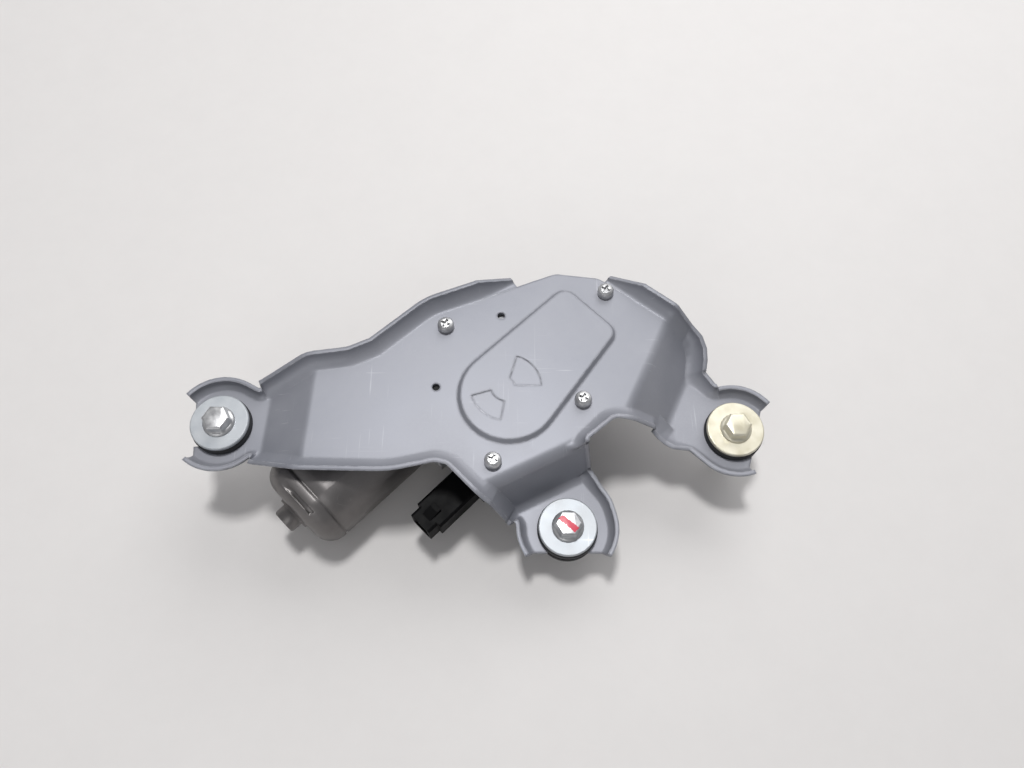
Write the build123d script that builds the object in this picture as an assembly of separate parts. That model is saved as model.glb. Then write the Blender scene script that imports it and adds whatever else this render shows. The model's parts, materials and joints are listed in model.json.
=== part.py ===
from build123d import *
import math
import os

# Rear wiper motor on its stamped mounting bracket, in millimetres.
# The output shaft axis is the line x = y = 0 and points down. While a piece is made, z = 0 is the top of the
# bracket's plate; written_height() then lifts it all, so that z = 0 is the middle of the shaft's plain seat.
# The gearbox and motor are drawn in the gear frame, whose x axis runs along the motor, away from its end cap.

# Layout of the drive
MOTOR_ANGLE = 45.0
WHEEL_X = -39.0
WORM_Y = 29.0
DRIVE_Z = -22.0
REST_Z = -41.0

# Bracket sheet, its bends and its raised pad
SHEET = 1.8
BEND = 4.0
PAD_RISE = 1.8
PAD_ROUND = (-41.0, -3.0, 20.0)
PAD_END_X = 11.5
PAD_HALF_END = 15.5
PAD_CORNER = 5.0
MARK_DEPTH = 0.4
SECTOR_MARKS = ((0, 74, 3, 14), (197, 260, 7, 15.5))
SMALL_HOLES = ((-17.3, 25.7), (-60.0, 20.9))
SMALL_HOLE_RADIUS = 1.6

# Up-turned rims: how far each kind leans out and up
PLATE_RIM = (7.0, 6.0)
TIGHT_RIM = (5.6, 5.2)
LUG_RIM = (4.2, 4.5)
FADED_RIM = (1.4, 1.2)
RIM_SINK = 0.3
RIM_TOE = 1.8
RIM_FOOT = 2.0
SLOPE_STEP = 20.0

# Lugs: bolt axis, level of the lug and the way its fork opens
LEFT_LUG, LEFT_LEVEL, LEFT_OPENS = (-146.0, -42.0), -8.0, 184.0
RIGHT_LUG, RIGHT_LEVEL, RIGHT_OPENS = (68.5, -41.5), -17.0, -19.0
BOTTOM_LUG, BOTTOM_LEVEL, BOTTOM_OPENS = (-3.0, -82.0), -22.0, -90.0
LUG_CREASE = 14.5
BOTTOM_CREASE = 15.0

# Ramps from the plate down to the lugs: direction, distance of the upper bend, run, and side of x they lie on
LEFT_RAMP = (177.0, 107.0, 18.5)
RIGHT_RAMP = (-25.0, 36.0, 17.0)
BOTTOM_RAMP = (-64.0, 48.0, 7.5)
ARM_SPLIT = 16.0

# Rubber grommets, spacer sleeves, washers and bolts on the lugs
GROMMET_RADIUS = 12.4
GROMMET_NECK = 8.2
GROMMET_EASE = 0.05
GROMMET_FLANGE = 3.4
SLEEVE_BORE, SLEEVE_RADIUS = 3.3, 4.6
SLEEVE_COLLAR, SLEEVE_COLLAR_THICK = 9.0, 1.2
WASHER_RADIUS, WASHER_THICK = 12.0, 1.6
BOLT_RADIUS, BOLT_SHANK = 3.0, 2.7
BOLT_THREAD, BOLT_TIP = 11.5, 0.7
BOLT_FLANGE, BOLT_FLANGE_THICK = 6.55, 1.4
BOLT_HEX, BOLT_HEAD = 10.0, 5.2
BOLT_LENGTH = BOTTOM_LEVEL + GROMMET_FLANGE + WASHER_THICK - REST_Z

# Screws through the plate into the gear housing, in the gear frame
COVER_SCREWS = ((-37.8, 38.5), (22.8, 1.6), (-21.5, -26.4), (-66.1, -19.0))
SCREW_RADIUS = 2.0
SCREW_HOLE = 2.25
SCREW_HEAD_RADIUS, SCREW_HEAD = 3.5, 2.7
SCREW_LENGTH = 14.0
THREAD_PLAY = 0.02
SPRING_WASHER_RADIUS, SPRING_WASHER_THICK = 3.4, 1.0

# Gear housing
GASKET = 1.0
HOUSING_TOP = -SHEET - GASKET
FLANGE_THICK = 4.0
WALL = 2.5
BOWL_CLEAR = 1.1
BOWL_FLOOR = -28.6
GALLERY_FLOOR = -14.6
BOSS_RADIUS = 3.9
EAR_MARGIN = 0.4
WORM_BORE = 6.0
WORM_TUBE = 9.0
TUBE_END = -10.0
OUTPUT_BOSS_RADIUS = 10.2
OUTPUT_BOSS_END = -28.4
RUNNING = 0.03

# Motor
FLANGE_FACE = -73.4
FLANGE_PLATE = 4.0
YOKE_RADIUS, YOKE_HALF = 21.0, 19.0
YOKE_WALL = 1.8
YOKE_SHOULDER = ((0.0, 6.0), (2.5, 2.4), (7.0, 0.0))
YOKE_LENGTH = 58.0
YOKE_SLOT = 8.5
YOKE_BOSS_RADIUS, YOKE_BOSS_LENGTH = 6.2, 9.5
EAR_OUT = 4.0
EAR_RADIUS = 5.5
YOKE_SCREW_RADIUS = 2.5
MAGNET_INNER = 15.4
MAGNET_LENGTH, MAGNET_START = 36.0, -121.5
CORE_RADIUS, CORE_LENGTH, COIL_REACH = 14.6, 27.0, 5.0
SLOTS = 10
COMMUTATOR_RADIUS, COMMUTATOR_LENGTH, COMMUTATOR_START = 8.0, 10.5, -86.0
MOTOR_SHAFT = 2.5

# Worm and wheel
WORM_MODULE = 1.0
WORM_PITCH_RADIUS = 4.0
WHEEL_TEETH = 50
TOOTH_ADDENDUM, TOOTH_DEDENDUM = 0.9, 1.15
TOOTH_PLAY = 0.2
PRESSURE_ANGLE = 20.0
WHEEL_FACE = 9.0
WHEEL_WEB = 2.0
WORM_HALF = 11.0
WORM_STEPS = 14
WORM_TIP_SIDES, WORM_ROOT_SIDES = 3, 5
WHEEL_HUB = 7.5
HUB_RISE = 0.8
WHEEL_PIN = 3.5
WHEEL_PIN_TOP = -15.4
CRANK = 8.0
RING_INNER, RING_OUTER, RING_THICK = 9.5, 19.5, 0.6
FINGER_RADII = (11.0, 14.0, 17.0)
FINGER_HALF, FINGER_THICK = 1.2, 0.5
CRANK_PIN = 2.8

# Sector gear, pinion and output shaft
SECTOR_MODULE = 1.25
PINION_TEETH = 14
SECTOR_TEETH = 18
GEAR_TOP, GEAR_THICK = -5.8, 5.0
LINK_THICK = 1.6
LAY_CLEAR = 0.3
LEVER_LENGTH = 33.0
LEVER_HALF_WIDTH = 5.0
LEVER_EYE = 6.2
SECTOR_HUB = 7.5
LINK_PIN = 3.0
SHAFT_RADIUS = 5.0
BUSH_RADIUS = 7.0
SEAT_TOP = -30.4
SEAT_LENGTH = 3.6
TAPER_LENGTH = 3.2
TAPER_END = 4.4
NECK_RADIUS, NECK_LENGTH = 3.4, 0.6
THREAD_RADIUS = 4.0

# Connector beside the motor
PLUG_Y = -12.7
PLUG_MOUTH, PLUG_BACK = -102.0, -72.0
PLUG_HALF_WIDTH, PLUG_HALF_HEIGHT = 7.0, 6.0
PLUG_NOSE_HALF, PLUG_NOSE = 5.4, 5.0
PLUG_WALL = 1.3
PLUG_DEPTH = 17.0

PINION_RADIUS = SECTOR_MODULE * PINION_TEETH / 2
SECTOR_RADIUS = SECTOR_MODULE * SECTOR_TEETH / 2
LINK_LENGTH = PINION_RADIUS + SECTOR_RADIUS
WHEEL_RADIUS = WORM_MODULE * WHEEL_TEETH / 2
GEAR_BOTTOM = GEAR_TOP - GEAR_THICK
YOKE_END = FLANGE_FACE - YOKE_LENGTH
EAR_REACH = YOKE_RADIUS + EAR_OUT
CORE_START = COMMUTATOR_START - COIL_REACH - CORE_LENGTH
BOWL_RADIUS = WHEEL_RADIUS + TOOTH_ADDENDUM + BOWL_CLEAR
WRITE_LIFT = -(SEAT_TOP - SEAT_LENGTH / 2)


def heading(degrees):
    return math.cos(math.radians(degrees)), math.sin(math.radians(degrees))


def rod(radius, bottom, top, x=0.0, y=0.0):
    """An upright cylinder between two heights."""
    return Pos(x, y, (bottom + top) / 2) * Cylinder(radius, top - bottom)


def tube(outer, inner, bottom, top, x=0.0, y=0.0):
    return rod(outer, bottom, top, x, y) - rod(inner, bottom - 1, top + 1, x, y)


def along_motor(radius, start, end, y=WORM_Y):
    """A cylinder on the motor's line, between two places along it."""
    return Pos((start + end) / 2, y, DRIVE_Z) * Rot(0, 90, 0) * Cylinder(radius, end - start)


def block(x0, x1, y0, y1, z0, z1):
    return Pos((x0 + x1) / 2, (y0 + y1) / 2, (z0 + z1) / 2) * Box(x1 - x0, y1 - y0, z1 - z0)


def raised(sketch, bottom, top):
    return extrude(Pos(0, 0, bottom) * sketch, top - bottom)


def hull_of(*circles):
    """The outline stretched round some circles, each given as x, y and radius."""
    order = []
    for step in range(360):
        across = heading(step)
        furthest = max(circles, key=lambda one: one[0] * across[0] + one[1] * across[1] + one[2])
        if not order or order[-1] != furthest:
            order.append(furthest)
    if order[0] == order[-1]:
        order.pop()
    sides = []
    for one, following in zip(order, order[1:] + order[:1]):
        along = math.degrees(math.atan2(following[1] - one[1], following[0] - one[0]))
        apart = math.dist(one[:2], following[:2])
        sides.append(along - math.degrees(math.acos((one[2] - following[2]) / apart)))

    def on(circle, angle):
        return circle[0] + circle[2] * heading(angle)[0], circle[1] + circle[2] * heading(angle)[1]

    edges = []
    for i, one in enumerate(order):
        following = order[(i + 1) % len(order)]
        came = sides[i - 1]
        turn = (sides[i] - came) % 360
        edges.append(ThreePointArc(on(one, came), on(one, came + turn / 2), on(one, came + turn)))
        edges.append(Line(on(one, sides[i]), on(following, sides[i])))
    return make_face(edges)


def in_gear_frame(shape):
    return Rot(0, 0, MOTOR_ANGLE) * shape


def sector_pivot():
    """The sector gear's axis with the crank and lever in one line, as the wiper stands parked."""
    reach = LEVER_LENGTH + CRANK
    cosine = (LINK_LENGTH**2 + WHEEL_X**2 - reach**2) / (2 * LINK_LENGTH * -WHEEL_X)
    angle = math.acos(cosine)
    return -LINK_LENGTH * math.cos(angle), -LINK_LENGTH * math.sin(angle)


SECTOR_X, SECTOR_Y = sector_pivot()
LEVER_HEADING = math.degrees(math.atan2(-SECTOR_Y, WHEEL_X - SECTOR_X))
CRANK_X = SECTOR_X + LEVER_LENGTH * heading(LEVER_HEADING)[0]
CRANK_Y = SECTOR_Y + LEVER_LENGTH * heading(LEVER_HEADING)[1]


def lug_corner(center, radius, first, last):
    """Where the tangents at two places on a lug's crease circle meet."""
    middle = heading((first + last) / 2)
    reach = radius / math.cos(math.radians(abs(first - last) / 2))
    return center[0] + middle[0] * reach, center[1] + middle[1] * reach


def lug_tip(center, radius, angle):
    return center[0] + radius * heading(angle)[0], center[1] + radius * heading(angle)[1]


def crease_corners():
    """Corners of the four rimmed stretches of the outline, clockwise: place, bend radius and kind of rim."""
    left, right, bottom = LEFT_LEVEL, RIGHT_LEVEL, BOTTOM_LEVEL
    plate, tight, lug = PLATE_RIM, TIGHT_RIM, LUG_RIM
    turn = LUG_CREASE - 0.5
    top_left = [
        (*lug_tip(LEFT_LUG, LUG_CREASE, 141), left, 0, lug),
        (*lug_corner(LEFT_LUG, LUG_CREASE, 140, 62), left, turn, lug),
        (-131.5, -33.3, left, 7, lug), (-127.2, -31.0, left, 4, plate), (-108.4, -22.4, 0, 6, plate),
        (-92.0, -20.2, 0, 20, plate), (-80.5, -15.0, 0, 14, plate), (-58.5, 4.4, 0, 20, plate),
        (-37.5, 12.4, 0, 12, plate), (-24.5, 22.0, 0, 0, FADED_RIM)]
    top_right = [
        (15.5, 23.4, 0, 0, FADED_RIM), (26.5, 11.8, 0, 15, plate), (40.3, 1.2, 0, 6, plate),
        (50.8, -5.5, 0.73 * right, 8, plate), (49.0, -19.0, right, 9, plate), (60.5, -29.0, right, 8, tight),
        (*lug_corner(RIGHT_LUG, LUG_CREASE, 105, 38), right, turn, lug),
        (*lug_tip(RIGHT_LUG, LUG_CREASE, 37), right, 0, lug)]
    bay = [
        (*lug_tip(RIGHT_LUG, LUG_CREASE, -71), right, 0, lug),
        (*lug_corner(RIGHT_LUG, LUG_CREASE, -72, -133), right, turn, lug),
        (52.0, -45.9, right, 8, lug), (42.3, -41.5, right, 9, plate), (36.0, -35.9, 0.7 * right, 10, plate),
        (23.0, -35.4, 0, 6, plate), (12.5, -33.6, 0, 14, plate), (-2.5, -49.0, 0, 8, tight),
        (-2.2, -54.4, 0, 2.5, tight), (0.8, -61.4, bottom, 4, tight),
        (*lug_corner(BOTTOM_LUG, BOTTOM_CREASE, 62, 14), bottom, BOTTOM_CREASE, lug),
        (*lug_corner(BOTTOM_LUG, BOTTOM_CREASE, 14, -34), bottom, BOTTOM_CREASE, lug),
        (*lug_tip(BOTTOM_LUG, BOTTOM_CREASE, -35), bottom, 0, lug)]
    lower = [
        (*lug_tip(BOTTOM_LUG, BOTTOM_CREASE, -145), bottom, 0, lug),
        (*lug_corner(BOTTOM_LUG, BOTTOM_CREASE, -146, -178), bottom, BOTTOM_CREASE, lug),
        (-18.4, -77.5, bottom, 8, lug), (-23.5, -73.3, bottom, 4, plate), (-32.8, -69.3, 0, 6, plate),
        (-47.0, -55.0, 0, 12, plate), (-56.0, -52.9, 0, 14, plate), (-75.0, -57.0, 0, 40, plate),
        (-110.1, -56.3, 0, 6, plate), (-128.4, -51.8, left, 4, plate), (-133.2, -50.2, left, 7, lug),
        (*lug_corner(LEFT_LUG, LUG_CREASE, -50, -128), left, turn, lug),
        (*lug_tip(LEFT_LUG, LUG_CREASE, -129), left, 0, lug)]
    return top_left, top_right, bay, lower


FREE_EDGE = ((-19.0, 22.2, 8), (-6.5, 27.0, 8), (4.0, 25.6, 12), (12.5, 24.6, 8))


def corner_arc(before, spot, after, radius):
    """Start, middle and end of the arc that rounds a corner, and the angle it turns through in degrees."""
    came, goes = (spot - before).normalized(), (after - spot).normalized()
    turn = math.acos(came.dot(goes))
    reach = radius * math.tan(turn / 2)
    middle = spot + (goes - came).normalized() * (radius / math.cos(turn / 2) - radius)
    return spot - came * reach, middle, spot + goes * reach, math.degrees(turn)


def rounded_line(corners):
    """Straight runs through the corners, with an arc of each corner's own radius."""
    spots = [Vector(*corner[:3]) for corner in corners]
    edges = []
    last = spots[0]
    for i in range(1, len(spots) - 1):
        start, middle, stop, _ = corner_arc(spots[i - 1], spots[i], spots[i + 1], corners[i][3])
        edges += [Edge.make_line(last, start), Edge.make_three_point_arc(start, middle, stop)]
        last = stop
    edges.append(Edge.make_line(last, spots[-1]))
    return Wire(edges)


def rim_section(spot, ahead, reach):
    """The rim's cross-section at a spot of its crease: a lip curled out and up from inside the sheet."""
    out, up = reach
    level = math.hypot(ahead.X, ahead.Y)
    side_x, side_y = -ahead.Y / level, ahead.X / level
    curl = 2 * math.atan2(up, out)
    radius = out / math.sin(curl)
    thin = SHEET - 2 * RIM_SINK

    def at(distance, height):
        return Vector(spot.X + side_x * distance, spot.Y + side_y * distance, spot.Z + height)

    def on_arc(angle, size):
        return at(size * math.sin(angle), radius - RIM_SINK - size * math.cos(angle))

    inner = [on_arc(angle, radius) for angle in (0, curl / 2, curl)]
    half_thick = (thin + SHEET) / 2
    outer = [on_arc(curl, radius + SHEET), on_arc(curl / 2, radius + half_thick), on_arc(0, radius + thin)]
    toe_top, toe_bottom = at(-RIM_TOE, -RIM_SINK), at(-RIM_TOE, -RIM_SINK - thin)
    return Wire([
        Edge.make_line(toe_top, inner[0]), Edge.make_three_point_arc(*inner),
        Edge.make_line(inner[2], outer[0]), Edge.make_three_point_arc(*outer),
        Edge.make_line(outer[2], toe_bottom), Edge.make_line(toe_bottom, toe_top)])


def rim(corners):
    """A rim along its crease: lofts on straight runs and slopes, revolved bends where the crease is level."""
    spots = [Vector(*corner[:3]) for corner in corners]
    pieces = []
    last, last_reach = spots[0], corners[0][4]
    for i in range(1, len(spots) - 1):
        radius, reach = corners[i][3:]
        start, middle, stop, turn = corner_arc(spots[i - 1], spots[i], spots[i + 1], radius)
        before, after = spots[i] - spots[i - 1], spots[i + 1] - spots[i]
        first = rim_section(start, before, reach)
        pieces.append(Solid.make_loft([rim_section(last, before, last_reach), first], ruled=True))
        if before.Z == 0 and after.Z == 0:
            side = math.copysign(1, before.X * after.Y - before.Y * after.X)
            center = start + Vector(-before.Y, before.X).normalized() * radius * side
            pieces += revolve(Face(first), Axis(center, (0, 0, side)), turn).solids()
        else:
            arc = Edge.make_three_point_arc(start, middle, stop)
            steps = max(1, math.ceil(turn / SLOPE_STEP))
            rings = [rim_section(arc @ (k / steps), arc % (k / steps), reach) for k in range(steps + 1)]
            pieces.append(Solid.make_loft(rings, ruled=True))
        last, last_reach = stop, reach
    ahead = spots[-1] - last
    ends = [rim_section(last, ahead, last_reach), rim_section(spots[-1], ahead, corners[-1][4])]
    pieces.append(Solid.make_loft(ends, ruled=True))
    return joined(pieces)


def joined(pieces):
    """One solid from pieces that meet end to end: the faces where they meet are left out and the rest sewn."""
    faces = [face for piece in pieces for face in piece.faces()]
    centers = [face.center() for face in faces]
    skin = []
    for i, face in enumerate(faces):
        if all(i == j or (center - centers[i]).length > 0.001 for j, center in enumerate(centers)):
            skin.append(face)
    return Solid(Shell(skin))


def let_out(corners, distance):
    """The same line moved to its left, with the corner radii grown or shrunk to match."""
    spots = [Vector(corner[0], corner[1]) for corner in corners]
    moved = []
    for i, spot in enumerate(spots):
        before = (spot - spots[i - 1]).normalized() if i else None
        after = (spots[i + 1] - spot).normalized() if i + 1 < len(spots) else None
        before, after = before or after, after or before
        left = Vector(-before.Y - after.Y, before.X + after.X).normalized()
        stretch = distance / left.dot(Vector(-before.Y, before.X))
        bend = before.X * after.Y - before.Y * after.X
        radius = corners[i][3]
        if radius:
            radius = radius + distance if bend < 0 else max(radius - distance, 0.8)
        moved.append((spot.X + left.X * stretch, spot.Y + left.Y * stretch, 0, radius))
    return moved


def floor_outline():
    """Plan of the sheet's floor: the creases let out to reach under the rims, and the bare upper edge."""
    top_left, top_right, bay, lower = [let_out(corners, RIM_FOOT) for corners in crease_corners()]
    bare = [(x, y, 0, radius) for x, y, radius in FREE_EDGE]
    wires = [rounded_line(top_left[:-1] + bare + top_right[1:]), rounded_line(bay), rounded_line(lower)]
    edges = []
    for wire, following in zip(wires, wires[1:] + wires[:1]):
        edges += wire.edges()
        edges.append(Edge.make_line(wire @ 1, following @ 0))
    return Face(Wire(edges))


def ramp_band(ramp, level, first):
    """The sheet from a place on the plate, down a ramp with rounded bends, and on at the lug's level."""
    direction, start, run = ramp
    slope = math.atan2(-level, run)
    shift = SHEET * math.tan(slope / 2)
    end, far = start + run, start + 120
    outline = Polyline(
        (first, 0), (start, 0), (end, level), (far, level), (far, level - SHEET), (end - shift, level - SHEET),
        (start - shift, -SHEET), (first, -SHEET), close=True)
    side = make_face(outline)

    def corner(x, z):
        return side.vertices().sort_by_distance((x, z, 0))[0]

    side = fillet([corner(start, 0), corner(end - shift, level - SHEET)], BEND + SHEET)
    side = fillet([corner(end, level), corner(start - shift, -SHEET)], BEND)
    return Rot(0, 0, direction) * extrude(Plane.XZ * side, 90, both=True)


def bracket_floor():
    far, lap = 400, 3.0
    flat = Pos(0, 0, -SHEET / 2) * Box(far, far, SHEET)
    right_side = Pos(ARM_SPLIT + far / 2, 0, 0) * Box(far, far, far)
    left_side = Pos(ARM_SPLIT - far / 2, 0, 0) * Box(far, far, far)
    bands = []
    for ramp, level, side in ((LEFT_RAMP, LEFT_LEVEL, left_side), (RIGHT_RAMP, RIGHT_LEVEL, right_side),
                              (BOTTOM_RAMP, BOTTOM_LEVEL, left_side)):
        direction, start, run = ramp
        slope = math.atan2(-level, run)
        first = start - (BEND + SHEET) * math.tan(slope / 2) - lap
        beyond = Rot(0, 0, direction) * Pos(first + lap / 2 + far / 2, 0, 0) * Box(far, far, far)
        bands.append(ramp_band(ramp, level, first) & side)
        flat = flat - (beyond & side)
    plan = Pos(0, 0, BOTTOM_LEVEL - 2 * SHEET) * floor_outline()
    whole = flat + bands[0] + bands[1] + bands[2]
    return whole & extrude(plan, 3 * SHEET - BOTTOM_LEVEL, dir=(0, 0, 1))


def pad_outline(grow=0.0):
    """The raised pad in the gear frame: a round lower end, straight sides and a square end with round corners."""
    x, y, radius = PAD_ROUND
    corner_x = PAD_END_X - PAD_CORNER
    corner_y = PAD_HALF_END - PAD_CORNER
    size = PAD_CORNER + grow
    return hull_of((x, y, radius + grow), (corner_x, corner_y, size), (corner_x, -corner_y, size))


def sector_mark(first, last, inner, outer):
    """A shallow fan-shaped mark round the wheel's axis, in the gear frame."""
    ring = Pos(WHEEL_X, 0) * (Circle(outer) - Circle(inner))
    far = 3 * outer
    spots = [(WHEEL_X + far * heading(a)[0], far * heading(a)[1])
             for a in (first - MOTOR_ANGLE, (first + last) / 2 - MOTOR_ANGLE, last - MOTOR_ANGLE)]
    wedge = make_face(Polyline((WHEEL_X, 0), *spots, close=True))
    return ring & wedge


def mounting_bracket():
    sheet = bracket_floor()
    for corners in crease_corners():
        sheet = sheet + rim(corners)
    slant = SHEET * 0.8
    raise_pad = loft([in_gear_frame(Pos(0, 0, -0.01) * pad_outline(slant)),
                      in_gear_frame(Pos(0, 0, PAD_RISE) * pad_outline())])
    pocket = loft([in_gear_frame(Pos(0, 0, -SHEET - 0.01) * pad_outline(slant - 0.9)),
                   in_gear_frame(Pos(0, 0, PAD_RISE - SHEET) * pad_outline(-0.9))])
    sheet = sheet + raise_pad - pocket
    for mark in SECTOR_MARKS:
        sheet = sheet - in_gear_frame(raised(sector_mark(*mark), PAD_RISE - MARK_DEPTH, PAD_RISE + 1))
    for x, y in COVER_SCREWS:
        sheet = sheet - in_gear_frame(rod(SCREW_HOLE, -5, 5, x, y))
    for x, y in SMALL_HOLES:
        sheet = sheet - in_gear_frame(rod(SMALL_HOLE_RADIUS, -5, 5, x, y))
    for lug, level, opens in lugs():
        low, high = level - 4, level + 2
        slot = rod(GROMMET_NECK, low, high) + block(0, 30, -GROMMET_NECK, GROMMET_NECK, low, high)
        sheet = sheet - Pos(*lug, 0) * Rot(0, 0, opens) * slot
    return sheet


def lugs():
    return ((LEFT_LUG, LEFT_LEVEL, LEFT_OPENS), (RIGHT_LUG, RIGHT_LEVEL, RIGHT_OPENS),
            (BOTTOM_LUG, BOTTOM_LEVEL, BOTTOM_OPENS))


def turned(points):
    """A solid of revolution about the upright axis from (radius, height) points."""
    return revolve(Plane.XZ * make_face(Polyline(*points, close=True)), Axis.Z)


def grommet():
    """Rubber bush with a groove for the sheet, level 0 at the top of the lug."""
    top, bottom = GROMMET_FLANGE, -SHEET - GROMMET_FLANGE
    soft = 1.2
    return turned([
        (SLEEVE_RADIUS, bottom), (GROMMET_RADIUS - soft, bottom), (GROMMET_RADIUS, bottom + soft),
        (GROMMET_RADIUS, -SHEET - GROMMET_EASE), (GROMMET_NECK - GROMMET_EASE, -SHEET - GROMMET_EASE),
        (GROMMET_NECK - GROMMET_EASE, GROMMET_EASE), (GROMMET_RADIUS, GROMMET_EASE),
        (GROMMET_RADIUS, top - soft), (GROMMET_RADIUS - soft, top), (SLEEVE_RADIUS, top)])


def sleeve():
    bottom = -SHEET - GROMMET_FLANGE
    return turned([
        (SLEEVE_BORE, bottom - SLEEVE_COLLAR_THICK), (SLEEVE_COLLAR, bottom - SLEEVE_COLLAR_THICK),
        (SLEEVE_COLLAR, bottom), (SLEEVE_RADIUS, bottom), (SLEEVE_RADIUS, GROMMET_FLANGE),
        (SLEEVE_BORE, GROMMET_FLANGE)])


def lug_washer():
    edge = 0.4
    bottom, top = GROMMET_FLANGE, GROMMET_FLANGE + WASHER_THICK
    return turned([
        (SLEEVE_BORE, bottom), (WASHER_RADIUS, bottom), (WASHER_RADIUS, top - edge), (WASHER_RADIUS - edge, top),
        (SLEEVE_BORE, top)])


def flange_bolt():
    """Flange-head bolt with a dished head, a thinner shank and a free threaded end."""
    seat = GROMMET_FLANGE + WASHER_THICK
    end = seat - BOLT_LENGTH
    shank = turned([
        (0, end), (BOLT_RADIUS - BOLT_TIP, end), (BOLT_RADIUS, end + BOLT_TIP),
        (BOLT_RADIUS, end + BOLT_TIP + BOLT_THREAD), (BOLT_SHANK, end + BOLT_TIP + BOLT_THREAD),
        (BOLT_SHANK, seat), (BOLT_FLANGE, seat), (BOLT_FLANGE, seat + 0.6),
        (BOLT_HEX / 2 + 0.4, seat + BOLT_FLANGE_THICK), (0, seat + BOLT_FLANGE_THICK)])
    head = Pos(0, 0, seat + 0.5) * extrude(RegularPolygon(BOLT_HEX / 2, 6, major_radius=False), BOLT_HEAD - 0.5)
    corner = BOLT_HEX / 2 / math.cos(math.pi / 6)
    top = seat + BOLT_HEAD
    crown = turned([(0, seat), (corner + 0.1, seat), (corner + 0.1, top - 0.9), (BOLT_HEX / 2 - 0.3, top),
                    (BOLT_HEX / 2 - 1.2, top), (BOLT_HEX / 2 - 1.6, top - 0.5), (0, top - 0.5)])
    return shank + (head & crown)


def spring_washer():
    ring = tube(SPRING_WASHER_RADIUS, SCREW_RADIUS + 0.1, 0, SPRING_WASHER_THICK)
    return ring - Rot(0, 0, 30) * block(0, 5, -0.3, 0.3, -1, 2)


def pan_screw():
    """Pan-head screw with a cross recess; its head seats on the spring washer."""
    seat = SPRING_WASHER_THICK
    top = seat + SCREW_HEAD
    body = turned([
        (0, seat - SCREW_LENGTH), (SCREW_RADIUS, seat - SCREW_LENGTH), (SCREW_RADIUS, seat),
        (SCREW_HEAD_RADIUS, seat), (SCREW_HEAD_RADIUS, seat + 1.4), (SCREW_HEAD_RADIUS - 0.5, seat + 2.2),
        (SCREW_HEAD_RADIUS - 1.5, top), (0, top)])
    for turn in (20, 110):
        body = body - Rot(0, 0, turn) * block(-1.9, 1.9, -0.5, 0.5, top - 1.5, top + 1)
    return body


def gallery_outline(grow=0.0):
    """Room for the sector gear, its lever and the pinion over their whole travel."""
    folded = (SECTOR_X - 13.7, SECTOR_Y + 8.9)
    opened = (SECTOR_X + 10.5, SECTOR_Y + 2.8)
    return hull_of((0, 0, 12 + grow), (SECTOR_X, SECTOR_Y, 9.5 + grow), (*opened, 3.5 + grow),
                   (*folded, 11 + grow), (WHEEL_X + 12, 0, 14 + grow))


def housing_flange():
    """Outline of the housing's joint face with an ear for each screw."""
    face = Pos(WHEEL_X, 0) * Circle(BOWL_RADIUS + WALL + 1.4) + gallery_outline(WALL + 1.5)
    anchors = ((WHEEL_X, WORM_Y - 6, 11), (7, 0.5, 9), (-20, -17, 9), (WHEEL_X - 14, -10, 12))
    for (x, y), anchor in zip(COVER_SCREWS, anchors):
        face = face + hull_of((x, y, BOSS_RADIUS + EAR_MARGIN), anchor)
    return face


def housing_cavities():
    bowl = rod(BOWL_RADIUS, BOWL_FLOOR, 1, WHEEL_X)
    return bowl + raised(gallery_outline(), GALLERY_FLOOR, 1)


def screw_bosses(top):
    bosses = []
    for x, y in COVER_SCREWS:
        bosses.append(rod(BOSS_RADIUS, SPRING_WASHER_THICK - SCREW_LENGTH - 2, top, x, y))
    return bosses


def motor_outline(grow=0.0):
    """Section of the yoke across the motor: a circle with two flats, local x across and y up."""
    return (Circle(YOKE_RADIUS + grow)) & Rectangle(3 * YOKE_RADIUS, 2 * (YOKE_HALF + grow))


def motor_face(sketch, start, length):
    """A sketch across the motor, pushed along it from a place on its line."""
    return extrude(Plane(origin=(start, WORM_Y, DRIVE_Z), x_dir=(0, 1, 0), z_dir=(1, 0, 0)) * sketch, length)


def motor_ears():
    ears = hull_of((-EAR_REACH, 0, EAR_RADIUS), (EAR_REACH, 0, EAR_RADIUS), (0, 0, YOKE_HALF - 2))
    return ears + motor_outline()


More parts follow.
